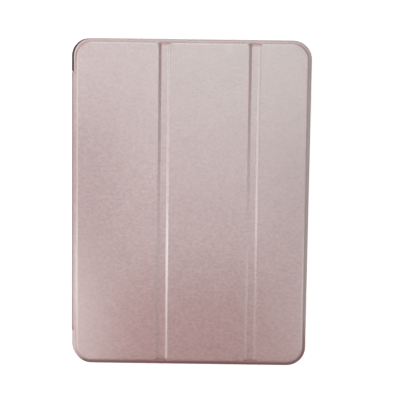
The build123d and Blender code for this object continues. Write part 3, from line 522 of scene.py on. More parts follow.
def front_glass():
    """Cover glass: a black border round a switched-off display, and the front camera's window."""
    s = Shader("cover_glass", IOR=1.52, Coat_Weight=0.3, Coat_Roughness=0.02)
    display = box_mm("display_panel")[1]
    place = s.add("ShaderNodeSeparateXYZ", {"Vector": s.place}).outputs
    beside = s.minus(s.math("ABSOLUTE", place["X"]), (display.x - 2.0) * MM)
    beyond = s.minus(s.math("ABSOLUTE", place["Y"]), (display.y - 2.4) * MM)
    border = s.map(s.math("MAXIMUM", beside, beyond), 0.0, 0.1 * MM, 0.0, 1.0)
    low, high = box_mm("front_camera")
    camera = (low + high) / 2 * MM
    flat = s.add("ShaderNodeCombineXYZ", {"X": place["X"], "Y": place["Y"], "Z": 0.0}).outputs["Vector"]
    away = s.distance(flat, (camera.x, camera.y, 0.0))
    lens = s.map(away, 1.0 * MM, 1.1 * MM, 1.0, 0.0)
    rim = s.map(away, 1.8 * MM, 1.9 * MM, 1.0, 0.0)
    screen = s.mix(s.noise(60.0, 1.0), (0.010, 0.011, 0.014), (0.014, 0.015, 0.019))
    colour = s.mix(border, screen, (0.003, 0.003, 0.0035))
    colour = s.mix(rim, colour, (0.012, 0.012, 0.016))
    s.set("Base Color", s.mix(lens, colour, (0.020, 0.022, 0.060)))
    s.set("Roughness", s.map(s.noise(22.0, 3.0, 0.6), 0.35, 0.7, 0.035, 0.075))
    return s.material


def plastic(name, dark, light, gloss=0.5, grain=0.4):
    """Moulded or printed plastic: a fine texture and a slight change of tone."""
    s = Shader(name)
    s.set("Base Color", s.mix(s.noise(6.0, 3.0), dark, light))
    s.set("Roughness", s.map(s.noise(grain, 2.0), 0.3, 0.7, gloss - 0.07, gloss + 0.07))
    s.set("Normal", s.bump(s.noise(grain, 2.0), 0.01))
    return s.material


def metal(name, dark, light, gloss=0.35, along=(1.0, 12.0, 12.0)):
    """Sheet or plated metal with brush marks, along X unless along says otherwise."""
    s = Shader(name, Metallic=1.0)
    marks = s.noise(1.2, 4.0, 0.6, s.stretched(along))
    s.set("Base Color", s.mix(marks, dark, light))
    s.set("Roughness", s.map(marks, 0.3, 0.7, gloss - 0.08, gloss + 0.08))
    s.set("Normal", s.bump(marks, 0.004))
    return s.material


def circuit_board():
    """Solder mask over copper tracks, with rows of small pads."""
    s = Shader("circuit_board", Coat_Weight=0.4, Coat_Roughness=0.15)
    tracks = s.cells(2.2, "DISTANCE_TO_EDGE", randomness=0.3)
    on_track = s.map(tracks, 0.05, 0.08, 1.0, 0.0)
    pads = s.map(s.cells(1.3, "F1", randomness=0.0), 0.22, 0.24, 1.0, 0.0)
    colour = s.mix(on_track, (0.010, 0.045, 0.030), (0.016, 0.080, 0.050))
    s.set("Base Color", s.mix(pads, colour, (0.55, 0.50, 0.38)))
    s.set("Roughness", s.map(pads, 0, 1, 0.45, 0.25))
    s.set("Normal", s.bump(on_track, 0.02))
    return s.material


def woven_mesh():
    """Fine dark acoustic mesh."""
    s = Shader("speaker_mesh", Metallic=0.8)
    holes = s.cells(0.25, "F1", randomness=0.1)
    s.set("Base Color", s.mix(s.map(holes, 0.3, 0.6, 0, 1), (0.05, 0.05, 0.055), (0.010, 0.010, 0.011)))
    s.set("Roughness", 0.5)
    s.set("Normal", s.bump(holes, 0.03))
    return s.material


def lens_glass():
    """Coated window over the rear camera: dark rings down to a bluish pupil."""
    s = Shader("lens_glass", Coat_Weight=1.0, Coat_Roughness=0.01)
    low, high = box_mm("rear_camera_window")
    away = s.distance(s.place, tuple((low + high) / 2 * MM))
    rings = s.add("ShaderNodeTexWave", {"Vector": s.place, "Scale": 1.0}, wave_type="RINGS").outputs["Fac"]
    pupil = s.map(away, 1.2 * MM, 1.6 * MM, 1.0, 0.0)
    iris = s.map(away, 2.4 * MM, 2.6 * MM, 1.0, 0.0)
    ringed = s.mix(rings, (0.012, 0.012, 0.02), (0.03, 0.03, 0.05))
    colour = s.mix(iris, (0.006, 0.006, 0.007), ringed)
    s.set("Base Color", s.mix(pupil, colour, (0.010, 0.014, 0.070)))
    s.set("Roughness", s.map(s.noise(2.0), 0.3, 0.7, 0.02, 0.05))
    return s.material


ROSE = leather()
CLOTH = lining()
FINISHES = {
    "rose_leather": ROSE,
    "lining_cloth": CLOTH,
    "shell_plastic": shell_plastic(),
    "anodised_aluminium": aluminium("anodised_aluminium", (0.50, 0.51, 0.53), (0.56, 0.57, 0.59)),
    "key_aluminium": aluminium("key_aluminium", (0.55, 0.56, 0.58), (0.62, 0.63, 0.65)),
    "cover_glass": front_glass(),
    "display_glass": plastic("display_glass", (0.010, 0.011, 0.014), (0.020, 0.021, 0.025), 0.12, 4.0),
    "lens_glass": lens_glass(),
    "black_foam": plastic("black_foam", (0.012, 0.012, 0.012), (0.03, 0.03, 0.03), 0.85, 0.3),
    "black_plastic": plastic("black_plastic", (0.012, 0.012, 0.013), (0.028, 0.028, 0.03), 0.45),
    "white_plastic": plastic("white_plastic", (0.74, 0.74, 0.72), (0.82, 0.82, 0.80), 0.5),
    "lamp_plastic": plastic("lamp_plastic", (0.80, 0.70, 0.42), (0.90, 0.84, 0.62), 0.15),
    "speaker_plastic": plastic("speaker_plastic", (0.03, 0.03, 0.032), (0.055, 0.055, 0.06), 0.5),
    "board_plastic": plastic("board_plastic", (0.60, 0.57, 0.52), (0.70, 0.67, 0.62), 0.65, 1.0),
    "battery_pouch": plastic("battery_pouch", (0.03, 0.03, 0.032), (0.055, 0.055, 0.06), 0.38, 2.5),
    "chip_resin": plastic("chip_resin", (0.02, 0.02, 0.022), (0.04, 0.04, 0.043), 0.5, 0.2),
    "graphite_sheet": plastic("graphite_sheet", (0.07, 0.07, 0.075), (0.12, 0.12, 0.13), 0.4, 0.8),
    "flex_film": plastic("flex_film", (0.22, 0.10, 0.02), (0.36, 0.18, 0.04), 0.25, 1.5),
    "speaker_mesh": woven_mesh(),
    "circuit_board": circuit_board(),
    "steel": metal("steel", (0.42, 0.42, 0.43), (0.55, 0.55, 0.56)),
    "tinned_steel": metal("tinned_steel", (0.55, 0.56, 0.57), (0.66, 0.67, 0.68), 0.28),
    "socket_steel": metal("socket_steel", (0.34, 0.34, 0.36), (0.48, 0.48, 0.50), 0.3, (12.0, 1.0, 12.0)),
    "screw_steel": metal("screw_steel", (0.28, 0.28, 0.30), (0.40, 0.40, 0.42), 0.35),
    "magnet": metal("magnet", (0.55, 0.56, 0.58), (0.66, 0.67, 0.69), 0.2),
}

for part in frame["record"]["subparts"]:
    for used in frame["nodes"][part["node"]].material_slots:
        used.link = "OBJECT"
        used.material = FINISHES[part["material_slot"]]


# ----------------------------------------------------------------------
# Folio: cover panels
# ----------------------------------------------------------------------


def sheet_height(share):
    """Top of the pressed sheet, from its cut edge (share 0) to the foot of the bevel (share 1)."""
    shares = [0.0, 0.06, 0.16, 0.35, 0.6, 0.82, 0.91, 1.0]
    drops = [0.62, 0.44, 0.32, 0.22, 0.14, 0.10, 0.16, 0.0]
    return SHEET_Z - np.interp(share, shares, drops)


# Where a panel's rings lie: shares of the way over its pressed sheet and up its bevel, then
# millimetres inwards over its flat.
SHEET_SHARES = [0.0, 0.03, 0.06, 0.11, 0.16, 0.25, 0.35, 0.48, 0.6, 0.72, 0.82, 0.865, 0.91, 0.955, 1.0]
BEVEL_SHARES = [0.06, 0.13, 0.22, 0.32, 0.43, 0.54, 0.65, 0.75, 0.84, 0.91, 0.96, 1.0]
FLAT_STEPS = [0.3, 0.8, 1.6, 3.0, 5.0, 7.5, 10.5, 14.0, 18.0, 22.5, 26.5]
PILLOW = 0.06  # how far the middle of a panel stands above its edge
GENTLE = 1.2  # the bevel to the right of the right fold is this much wider at its lower end
GENTLE_REACH = 10.0  # and the panel takes that up over this distance from the foot of the bevel
GENTLE_FROM, GENTLE_LENGTH = 20, 90  # it starts at this Y and is at its full width this much lower
SPINE_SHIFT = 0.7  # the edge beside the spine lies this much further out
SPINE_SHIFT_REACH = 3.4


def bevel_height(share):
    """Height of the bevel above its foot, tight at the foot and rounded over at the top."""
    return (TOP_Z - PILLOW - SHEET_Z) * (0.55 * math.sin(share * math.pi / 2) + 0.45 * eased(share))


def panel_shape(points):
    """Uneven glued leather, the wider bevel past the right fold and the shifted edge at the spine."""
    out = points.copy()
    for i, (x, y, z) in enumerate(points):
        if z > SHEET_Z + 0.2:
            out[i, 2] += 0.030 * rough(x, y, 24, 3.0) + 0.012 * rough(x, y, 7, 8.0)
        past_fold = x - foot_3
        if 0 < past_fold < GENTLE_REACH:
            lower = min(1.0, max(0.0, (GENTLE_FROM - y) / GENTLE_LENGTH))
            bulge = min(past_fold / FOLD_BEVEL, (GENTLE_REACH - past_fold) / (GENTLE_REACH - FOLD_BEVEL))
            out[i, 0] += GENTLE * eased(lower) * bulge
        near_spine = max(0.0, 1 - (x - COVER_LEFT) / SPINE_SHIFT_REACH)
        beside = min(1.0, max(0.0, (SPINE_HALF - 0.5 - abs(y)) / 1.5))
        out[i, 0] -= SPINE_SHIFT * near_spine * beside
    return out


def panel_rings(sheet, foot, flat):
    """Rings of a panel's leather from the middle of its underside to the middle of its top."""
    rings = [ring(inset(sheet, d), COVER_Z + 0.02) for d in (8.0, 0.15)]
    rings += [ring(between(sheet, foot, t), sheet_height(t)) for t in SHEET_SHARES]
    rings += [ring(between(foot, flat, t), SHEET_Z + bevel_height(t)) for t in BEVEL_SHARES]
    reach = (flat.right - flat.left) / 2 - 1.0
    for d in FLAT_STEPS:
        if d < reach - 1.5:
            rise = PILLOW * min(1.0, d / 6.0) ** 0.5
            rings.append(ring(inset(flat, d), TOP_Z - PILLOW + rise))
    rings.append(ring(inset(flat, reach), TOP_Z))
    return rings


def beside_fold(fold, side):
    """Foot and top edge of the bevel on one side of a fold; side is -1 for the left."""
    foot = fold.x + side * CHANNEL_HALF + CHANNEL_EXTRA * (side > 0)
    return foot, foot + side * FOLD_BEVEL


foot_1, flat_1 = beside_fold(FOLD_1, -1)
foot_2a, flat_2a = beside_fold(FOLD_1, 1)
foot_2b, flat_2b = beside_fold(FOLD_2, -1)
foot_3, flat_3 = beside_fold(FOLD_2, 1)
flat_left = box_mm("panel_1_board")[0].x
flat_right = box_mm("panel_3_board")[1].x
foot_right = flat_right + EDGE_BEVEL
foot_half = FLAT_HALF + EDGE_BEVEL
foot_radius = CASE_RADIUS - (HALF_LENGTH - foot_half)
flat_radius = foot_radius - EDGE_BEVEL
FOLD_RADIUS = 2.2

# Outlines of each panel: its pressed sheet, the foot of its bevel and its flat.
PANELS = {
    "panel_1": (
        Outline(COVER_LEFT, foot_1, HALF_LENGTH, EDGE_RADIUS_LEFT, TIGHT),
        Outline(COVER_LEFT + 1.2, foot_1, foot_half, foot_radius, FOLD_RADIUS),
        Outline(flat_left, flat_1, FLAT_HALF, flat_radius, FOLD_RADIUS),
    ),
    "panel_2": (
        Outline(foot_2a, foot_2b, HALF_LENGTH, TIGHT, TIGHT),
        Outline(foot_2a, foot_2b, foot_half, FOLD_RADIUS, FOLD_RADIUS),
        Outline(flat_2a, flat_2b, FLAT_HALF, FOLD_RADIUS, FOLD_RADIUS),
    ),
    "panel_3": (
        Outline(foot_3, CASE_RIGHT, HALF_LENGTH, TIGHT, CASE_RADIUS),
        Outline(foot_3, foot_right, foot_half, FOLD_RADIUS, foot_radius),
        Outline(flat_3, flat_right, FLAT_HALF, FOLD_RADIUS, flat_radius),
    ),
}

# The pressed line in the lining round a panel's board: distance inwards and height.
LINING_LINE = [(-0.9, 0.0), (-0.55, 0.03), (-0.25, 0.12), (0.0, 0.16), (0.25, 0.12)]
LINING_LINE += [(0.6, 0.02), (1.1, -0.03)]
LINING_OVERHANG = 1.9  # how far the lining stands out at the corner above the spine, as a dark strip painted as shadow


def lining_rings(outline, board):
    """Rings of a panel's lining: a soft edge, a pressed line round the board and a raised field."""
    top, low = COVER_Z + 0.01, LINING_Z + 0.03
    rings = [ring(inset(outline, 8.0), top), ring(inset(outline, 0.25), top)]
    rings += [ring(inset(outline, 0.03), top - 0.06), ring(outline, top - 0.14)]
    rings += [ring(inset(outline, 0.04), low + 0.10), ring(inset(outline, 0.16), low + 0.03)]
    rings += [ring(inset(outline, 0.4), low), ring(between(outline, board, 0.5), low)]
    rings += [ring(inset(board, d), low + rise) for d, rise in LINING_LINE]
    rings += [ring(inset(board, d), low - 0.04) for d in (3.0, 7.0, 11.0)]
    rings.append(ring(inset(board, (board.right - board.left) / 2 - 1.0), low - 0.04))
    return rings[::-1]


def lining_shape(points):
    """The lining stands out past the leather at the corner above the spine, as a dark strip of painted
    shadow.
    """
    offsets = from_corner(points)
    outwards = offsets / np.maximum(np.linalg.norm(offsets, axis=1), 0.01)[:, None]
    above_spine = np.clip((points[:, 1] - SPINE_HALF - 0.4) / 0.8, 0, 1)
    out = points.copy()
    out[:, :2] += outwards * (LINING_OVERHANG * above_spine * -outwards[:, 0])[:, None]
    return out


CREASE_AT = 1.0  # distance of the crease and of the ridge from the outline of a panel's flat
RIDGE_AT = 0.1
FOLD_RIDGE_AT = 1.2  # the same for the ridge beside the left fold
RIDGE_LEFT = 0.6  # strength of the painted highlight on the ridge at the left and right edges of the cover
RIDGE_RIGHT = 0.7


def past_outline(x, y, outline):
    """Distance of points outside a rounded outline, negative inside it."""
    middle = (outline.left + outline.right) / 2
    radius = np.where(x < middle, outline.left_radius, outline.right_radius)
    across = np.maximum(outline.left - x, x - outline.right) + radius
    along = np.abs(y) - outline.half + radius
    corner = np.hypot(np.maximum(across, 0), np.maximum(along, 0))
    return corner + np.minimum(np.maximum(across, along), 0) - radius


def mark_edges(obj, flat):
    """Stores the painted shade in the crease at the foot of a panel's bevel and the painted highlight along
    the ridge at its top.
    """
    points = np.array([vertex.co for vertex in obj.data.vertices]) / MM
    x, y = points[:, 0], points[:, 1]
    past = past_outline(x, y, flat)
    top, bottom = np.clip(1 + y - FLAT_HALF, 0, 1), np.clip(1 - y - FLAT_HALF, 0, 1)
    left, right = np.clip(1 + flat_left - x, 0, 1), np.clip(1 + x - flat_right, 0, 1)
    lower = np.clip(-y / 30, 0, 1)
    fold = np.clip(1.5 - np.abs(x - flat_2a + FOLD_RIDGE_AT) / 2, 0, 1) * lower
    above = points[:, 2] > COVER_Z + 0.3
    # painted shade in the crease along the upper, right and lower edges
    crease = hump(past - CREASE_AT, 0.35) * np.maximum.reduce([top, right, bottom])
    # painted highlight along the ridge: full at the upper edge, weaker at the left and lower right, and
    # beside the left fold
    painted_share = np.maximum.reduce([top, RIDGE_LEFT * left, RIDGE_RIGHT * right * lower])
    ridge = np.maximum(hump(past - RIDGE_AT, 0.45) * painted_share, hump(past - FOLD_RIDGE_AT, 0.5) * fold)
    store(obj.data, "crease", crease * above)
    store(obj.data, "ridge", ridge * above)


def settle(obj, body, node):
    """Fixes a piece to its body, in place of the CAD node it stands for."""
    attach(obj, body)
    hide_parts(node)


def lining_outline(sheet, at_left, at_right):
    """Outline of a panel's lining; at_left and at_right say which sides are outer edges of the cover."""
    left, right = sheet.left + LINING_INSET * at_left, sheet.right - LINING_INSET * at_right
    radii = [max(r - LINING_INSET, TIGHT) for r in (sheet.left_radius, sheet.right_radius)]
    return Outline(left, right, HALF_LENGTH - LINING_INSET, *radii)


for name, (sheet, foot, flat) in PANELS.items():
    skin = closed_rings(f"{name}_skin", panel_rings(sheet, foot, flat), ROSE, panel_shape)
    mark_edges(skin, flat)
    settle(skin, name, f"{name}_leather")
    rings = lining_rings(lining_outline(sheet, name == "panel_1", name == "panel_3"), inset(flat, -0.2))
    cloth = closed_rings(f"{name}_inner_cloth", rings, CLOTH, lining_shape)
    settle(cloth, name, f"{name}_lining")


# ----------------------------------------------------------------------
# Folio: leather and lining across the two folds
# ----------------------------------------------------------------------

UNDER = 0.5  # how far a strip runs on under the panels beside it
SINK = 0.03  # and how much it sinks there
edge_stations = [HALF_LENGTH - (HALF_LENGTH - foot_half) * t for t in SHEET_SHARES]
middle_stations = list(np.linspace(-foot_half, foot_half, 60)[1:-1])
FOLD_STATIONS = sorted(set([-y for y in edge_stations] + middle_stations + edge_stations))


def fold_strips(label, fold):
    """Pressed channel floor over one fold, and the lining under it."""
    foot_right_of_fold = fold.x + CHANNEL_HALF + CHANNEL_EXTRA
    across = np.linspace(fold.x - CHANNEL_HALF - UNDER, foot_right_of_fold + UNDER, 29)

    def follow_edge(y, outer, inner):
        share = min(1.0, (HALF_LENGTH - abs(y)) / (HALF_LENGTH - foot_half))
        raised = outer.copy()
        raised[:, 1] = sheet_height(share) - SINK * (raised[:, 1] < SHEET_Z - SINK / 3)
        return raised, inner

    height = np.full(len(across), SHEET_Z)
    height[[0, -1]] -= SINK
    outer = np.column_stack([across, height])
    inner = np.column_stack([across, np.full(len(across), COVER_Z + 0.03)])
    strip = strip_body(f"{label}_channel", outer, inner, FOLD_STATIONS, ROSE, follow_edge)
    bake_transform(strip)

    top = np.column_stack([across, np.full(len(across), COVER_Z + 0.02)])
    low = np.column_stack([across, LINING_Z + 0.04 + 0.12 * hump(across - fold.x, 0.8)])
    lining_half = HALF_LENGTH - LINING_INSET
    stations = [max(-lining_half, min(lining_half, y)) for y in FOLD_STATIONS]
    cloth = strip_body(f"{label}_inner_cloth", top, low, sorted(set(stations)), CLOTH)
    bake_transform(cloth)


fold_strips("fold_1", FOLD_1)
fold_strips("fold_2", FOLD_2)


# ----------------------------------------------------------------------
# Folio: spine, with the bending leather above and below it
# ----------------------------------------------------------------------


def rounded_path(points, radii, steps=9):
    """A path through (x, z) points whose inner corners are rounded by arcs of the given radii."""
    path = [np.array(points[0], float)]
    for i in range(1, len(points) - 1):
        before, corner, after = (np.array(points[k], float) for k in (i - 1, i, i + 1))
        a, b = before - corner, after - corner
        a, b = a / np.linalg.norm(a), b / np.linalg.norm(b)
        half_angle = math.acos(float(np.clip(a @ b, -1, 1))) / 2
        away = radii[i - 1] / math.tan(half_angle)
        centre = corner + (a + b) / np.linalg.norm(a + b) * radii[i - 1] / math.sin(half_angle)
        first, last = corner + a * away - centre, corner + b * away - centre
        turn = math.atan2(first[0] * last[1] - first[1] * last[0], first @ last)
        for t in np.linspace(0, 1, steps):
            c, s = math.cos(turn * t), math.sin(turn * t)
            path.append(centre + (c * first[0] - s * first[1], s * first[0] + c * first[1]))
    path.append(np.array(points[-1], float))
    return np.array(path)


def resample(path, spacing=0.35):
    """The path with points at most spacing millimetres apart."""
    out = [path[0]]
    for a, b in zip(path[:-1], path[1:]):
        parts = max(1, int(math.ceil(np.linalg.norm(b - a) / spacing)))
        out += [a + (b - a) * k / parts for k in range(1, parts + 1)]
    return np.array(out)


def layer(path, depth):
    """The path moved by depth to its right-hand side."""
    step = np.gradient(path, axis=0)
    step /= np.linalg.norm(step, axis=1)[:, None]
    return path + np.column_stack([step[:, 1], -step[:, 0]]) * depth


def end_rounding(y, outer, inner, half, soft=0.5):
    """Paths drawn together towards the ends of a strip, so that its cut ends are soft."""
    left = half - abs(y)
    if left >= soft:
        return outer, inner
    squeeze = 0.5 * (1 - math.sqrt(max(0.0, 1 - (1 - left / soft) ** 2)))
    squeeze = min(squeeze, 0.38)
    return outer + (inner - outer) * squeeze, inner + (outer - inner) * squeeze


def spine_stations(half):
    """Y places along the spine, close together at its ends."""
    ends = [half - d for d in (0.0, 0.06, 0.16, 0.32, 0.5)]
    return sorted(set([-y for y in ends] + list(np.linspace(-half + 3, half - 3, 60)) + ends))


LOW_SEAM = 2.4  # heights at which the wrap goes over from bending to stiff and back
HIGH_SEAM = 6.3
cover_end = COVER_LEFT + 0.9
under_x = BACK_HINGE.x + 3.2

# Outer surface of the wrap: under the shell, up the side, and over onto the cover.
low_corners = [(under_x, 0.06), (under_x - 1.2, 0.0), (CASE_LEFT, 0.0), (CASE_LEFT, LOW_SEAM)]
high_corners = [(CASE_LEFT, HIGH_SEAM), (CASE_LEFT, 7.5), (CASE_LEFT + 1.6, 9.1), (cover_end, SHEET_Z)]
low_path = resample(rounded_path(low_corners, [0.5, 0.9]))
mid_path = resample(np.array([(CASE_LEFT, LOW_SEAM - 0.2), (CASE_LEFT, HIGH_SEAM + 0.2)]))
high_path = resample(rounded_path(high_corners, [1.6, 0.9]))


def wrap(name, path, half, near, far, material):
    """One length of the spine's wrap, between the depths near and far under its outer path."""
    outer, inner = layer(path, near), layer(path, far)
    return strip_body(
        name, outer, inner, spine_stations(half), material, lambda y, a, b: end_rounding(y, a, b, half)
    )


def bend(piece):
    """Bakes the placing of a piece into its mesh."""
    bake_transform(piece)


SPINE_CLOTH_HALF = SPINE_HALF - 0.5

spine_skin = wrap("spine_skin", mid_path, SPINE_HALF, 0.0, LEATHER, ROSE)
settle(spine_skin, "spine", "spine_leather")
spine_cloth = wrap("spine_inner_cloth", mid_path, SPINE_CLOTH_HALF, 0.95, 1.28, CLOTH)
settle(spine_cloth, "spine", "spine_lining")
back_hinge_skin = wrap("back_hinge_skin", low_path, SPINE_HALF, 0.0, LEATHER, ROSE)
bend(back_hinge_skin)
cover_hinge_skin = wrap("cover_hinge_skin", high_path, SPINE_HALF, 0.0, LEATHER, ROSE)
bend(cover_hinge_skin)
cover_hinge_cloth = wrap("cover_hinge_cloth", high_path, SPINE_CLOTH_HALF, LEATHER - 0.02, 0.86, CLOTH)
bend(cover_hinge_cloth)


# ----------------------------------------------------------------------
# Folio: leather inlay on the back
# ----------------------------------------------------------------------

INLAY_RIGHT, INLAY_HALF, INLAY_TOP = box_mm("back_leather")[1]
INLAY_RADIUS = 10.0
TAB_END = under_x - 1.0  # the bending strip of the hinge takes over from here
CAMERA_SLOT = (75.5, 104.5)  # centre of the opening for the camera and its lamp
CAMERA_SLOT_HALF = (9.3, 14.3)  # its half width and half length
# Edge and pressed border line of the inlay: distance inwards and height.
INLAY_PROFILE = [(0.4, INLAY_TOP), (0.0, INLAY_TOP - 0.1), (0.0, 0.16), (0.05, 0.06), (0.18, 0.0)]
INLAY_PROFILE += [(0.7, 0.0), (0.85, 0.05), (1.0, 0.07), (1.15, 0.05), (1.3, 0.0), (1.45, 0.0)]


def arc(x, y, radius, first, last, steps=8):
    """Points on an arc between two directions, in degrees anticlockwise from X."""
    angles = np.radians(np.linspace(first, last, steps + 1))
    return [(x + radius * math.cos(a), y + radius * math.sin(a)) for a in angles]


def inlay_outline():
    """Anticlockwise outline of the inlay, with the strip that runs out to the spine."""
    x, y, r = INLAY_RIGHT, INLAY_HALF, INLAY_RADIUS
    points = arc(x - r, -y + r, r, -90, 0) + arc(x - r, y - r, r, 0, 90) + arc(-x + r, y - r, r, 90, 180)
    points += [(-x, SPINE_HALF), (TAB_END, SPINE_HALF), (TAB_END, -SPINE_HALF), (-x, -SPINE_HALF)]
    return np.array(points + arc(-x + r, -y + r, r, 180, 270))


def slot_outline():
    """Clockwise outline of the opening round the camera."""
    x, y = CAMERA_SLOT
    half_width, half_length = CAMERA_SLOT_HALF
    reach = half_length - half_width
    points = arc(x, y - reach, half_width, 180, 360, 16) + arc(x, y + reach, half_width, 0, 180, 16)
    return np.array(points[::-1])


def moved_in(outline, distance):
    """An outline with every side moved to its left by a distance."""
    left = []
    for d in (outline - np.roll(outline, 1, axis=0), np.roll(outline, -1, axis=0) - outline):
        left.append(np.column_stack([-d[:, 1], d[:, 0]]) / np.linalg.norm(d, axis=1)[:, None])
    corner = left[0] + left[1]
    corner /= np.maximum((corner * left[0]).sum(axis=1), 0.35)[:, None]
    return outline + corner * distance


def flat_fill(points, loops):
    """Flat faces that fill an outer loop of points; the edges of the loops inside it are kept."""
    index = [i for loop in loops for i in loop]
    edges, first = [], 0
    for loop in loops:
        edges += [(first + k, first + (k + 1) % len(loop)) for k in range(len(loop))]
        first += len(loop)
    found = delaunay_2d_cdt([Vector(points[i][:2]) for i in index], edges, [], 2, 1e-6)
    origin = [index[o[0]] for o in found[3]]
    return [tuple(origin[k] for k in face) for face in found[2]]


def back_inlay():
    """Flush leather inlay with rounded edges and a pressed border line."""
    points, faces, upper, lower = [], [], [], []
    for outline in (inlay_outline(), slot_outline()):
        count, base = len(outline), len(points)
        for distance, z in INLAY_PROFILE:
            points += [(x, y, z) for x, y in moved_in(outline, distance)]
        faces += sides(base, count, len(INLAY_PROFILE))
        upper.append(list(range(base, base + count)))
        lower.append(list(range(len(points) - count, len(points))))
    faces += flat_fill(points, upper) + flat_fill(points, lower)
    obj = mesh_object("back_skin", points, faces, ROSE)
    fix_normals(obj)
    return obj


settle(back_inlay(), "root", "back_leather")


# ----------------------------------------------------------------------
# Studio
# ----------------------------------------------------------------------


# Lamps: name, place, point it's turned to, width and height (all in metres), and watts.
CENTRE = (0, 0, 0)
LAMPS = [
    ("left_above", (-0.38, 0.22, 0.32), CENTRE, (0.30, 0.30), 0.84),
    ("left_below", (-0.36, -0.16, 0.30), CENTRE, (0.25, 0.25), 0.52),
    ("left", (-0.42, 0.02, 0.28), CENTRE, (0.20, 0.40), 0.39),
    ("right_below", (0.36, -0.14, 0.24), CENTRE, (0.25, 0.25), 0.20),
    ("right", (0.42, 0.00, 0.26), CENTRE, (0.20, 0.40), 0.15),
    ("low_left", (-0.22, -0.07, 0.11), (-0.02, -0.04, 0), (0.08, 0.16), 0.055),
    ("low_right", (0.24, -0.12, 0.11), (0.04, -0.08, 0), (0.08, 0.12), 0.015),
]


def area_light(name, place, aim, size, power):
    """A soft rectangular lamp at a place, turned to a point."""
    lamp = bpy.data.lights.new(name, "AREA")
    lamp.shape = "RECTANGLE"
    lamp.size, lamp.size_y = size
    lamp.energy = power
    obj = bpy.data.objects.new(name, lamp)
    bpy.context.scene.collection.objects.link(obj)
    obj.location = place
    obj.rotation_euler = (Vector(aim) - Vector(place)).to_track_quat("-Z", "Y").to_euler()
    obj.visible_camera = False


# Soft sources far away: elevation, direction from +Y towards +X (both in degrees), sharpness and strength.
SOFT_SOURCES = [
    (81, 0, 120, 6.4),
    (70, 0, 60, 2.9),
    (70, 90, 60, 4.1),
    (70, 225, 60, 1.6),
    (70, 270, 60, 1.1),
    (28, 265, 60, 0.9),
    (26, 108, 60, 0.6),
    (32, 0, 60, 2.0),
    (2, 0, 12, 4.1),
    (2, 90, 12, 1.6),
    (2, 180, 12, 0.8),
]
AMBIENT = 0.04


def studio_world():
    """Pale studio: white behind the object, and a few broad soft sources of light for everything else."""
    world = bpy.data.worlds.new("studio")
    bpy.context.scene.world = world
    world.use_nodes = True
    tree = world.node_tree
    tree.nodes.clear()

    def add(kind, operation, output, a, b=0.0):
        node = tree.nodes.new(kind)
        node.operation = operation
        for socket, value in zip(node.inputs, (a, b)):
            if isinstance(value, bpy.types.NodeSocket):
                tree.links.new(value, socket)
            else:
                socket.default_value = value
        return node.outputs[output]

    ray = tree.nodes.new("ShaderNodeTexCoord").outputs["Generated"]
    total = AMBIENT
    for elevation, turn, sharpness, strength in SOFT_SOURCES:
        up, round_z = math.radians(elevation), math.radians(turn)
        aim = (math.cos(up) * math.sin(round_z), math.cos(up) * math.cos(round_z), math.sin(up))
        along = add("ShaderNodeVectorMath", "DOT_PRODUCT", "Value", ray, aim)
        below = add("ShaderNodeMath", "SUBTRACT", 0, along, 1.0)
        lobe = add("ShaderNodeMath", "EXPONENT", 0, add("ShaderNodeMath", "MULTIPLY", 0, below, sharpness))
        lit = add("ShaderNodeMath", "MULTIPLY", 0, lobe, strength)
        total = add("ShaderNodeMath", "ADD", 0, lit, total)
    strength = tree.nodes.new("ShaderNodeMix")
    strength.data_type = "FLOAT"
    tree.links.new(tree.nodes.new("ShaderNodeLightPath").outputs["Is Camera Ray"], strength.inputs[0])
    tree.links.new(total, strength.inputs[2])
    strength.inputs[3].default_value = 1.0
    light = tree.nodes.new("ShaderNodeBackground")
    tree.links.new(strength.outputs[0], light.inputs["Strength"])
    light.inputs["Color"].default_value = (1.0, 1.0, 1.0, 1.0)
    out = tree.nodes.new("ShaderNodeOutputWorld")
    tree.links.new(light.outputs["Background"], out.inputs["Surface"])


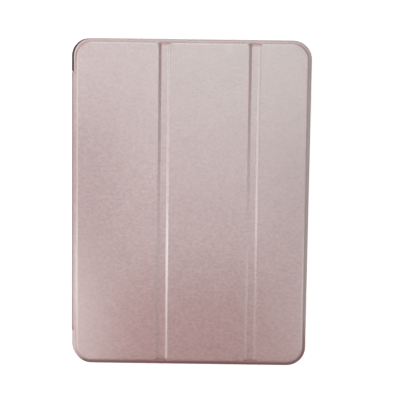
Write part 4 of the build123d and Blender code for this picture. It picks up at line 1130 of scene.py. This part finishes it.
def floor():
    """A plain pale floor with a little glow of its own, so that it stays paler than the case."""
    reach = 12.0
    corners = [(-reach, -reach, 0), (reach, -reach, 0), (reach, reach, 0), (-reach, reach, 0)]
    mesh = bpy.data.meshes.new("floor")
    mesh.from_pydata(corners, [], [(0, 1, 2, 3)])
    obj = bpy.data.objects.new("floor", mesh)
    bpy.context.scene.collection.objects.link(obj)
    s = Shader("floor_paper", Roughness=0.9, Specular_IOR_Level=0.1)
    s.set("Base Color", s.mix(s.noise(40.0, 2.0), (0.62, 0.62, 0.62), (0.64, 0.64, 0.64)))
    s.set("Emission Color", (1.0, 1.0, 1.0))
    s.set("Emission Strength", 0.55)
    obj.data.materials.append(s.material)
    return obj


def sink_below_cover(ground):
    """Lets the floor sink out of the way when the cover is folded below the case."""
    probes = []
    for body, corner in (
        ("panel_1", (COVER_HINGE.x, 0, TOP_Z)),
        ("panel_1", (FOLD_1.x, 0, TOP_Z)),
        ("panel_3", (CASE_RIGHT, 0, LINING_Z)),
        ("panel_3", (CASE_RIGHT, 0, TOP_Z)),
    ):
        probe = bpy.data.objects.new(f"probe_{len(probes)}", None)
        bpy.context.scene.collection.objects.link(probe)
        probe.parent = frame["bodies"][body]
        probe.location = Vector(corner) * MM
        probes.append(probe)
    driver = ground.driver_add("location", 2).driver
    driver.type = "SCRIPTED"
    for i, probe in enumerate(probes):
        variable = driver.variables.new()
        variable.name = f"z{i}"
        variable.type = "TRANSFORMS"
        variable.targets[0].id = probe
        variable.targets[0].transform_type = "LOC_Z"
        variable.targets[0].transform_space = "WORLD_SPACE"
    # the floor stays 0.4 mm below the lowest of the four
    driver.expression = "min(0.0, z0 - 0.0004, z1 - 0.0004, z2 - 0.0004, z3 - 0.0004)"


CAMERA_PLACE = (0.0090, 0.0485, 0.6042 + SHEET_Z * MM)
CAMERA_TURNS = [("Z", -0.77), ("Y", -0.11), ("X", 4.28)]  # degrees


def camera():
    """Looks down on the case from almost straight above, a little to the right of and above its middle."""
    cam = bpy.data.cameras.new("camera")
    cam.lens = 70.0
    cam.sensor_width = 36.0
    cam.clip_start, cam.clip_end = 0.01, 100.0
    obj = bpy.data.objects.new("camera", cam)
    bpy.context.scene.collection.objects.link(obj)
    turn = Matrix.Identity(3)
    for axis, degrees in CAMERA_TURNS:
        turn = turn @ Matrix.Rotation(math.radians(degrees), 3, axis)
    obj.matrix_world = Matrix.Translation(CAMERA_PLACE) @ turn.transposed().to_4x4()
    bpy.context.scene.camera = obj


studio_world()
sink_below_cover(floor())
camera()
for lamp_settings in LAMPS:
    area_light(*lamp_settings)
bpy.context.scene.view_settings.view_transform = "Standard"
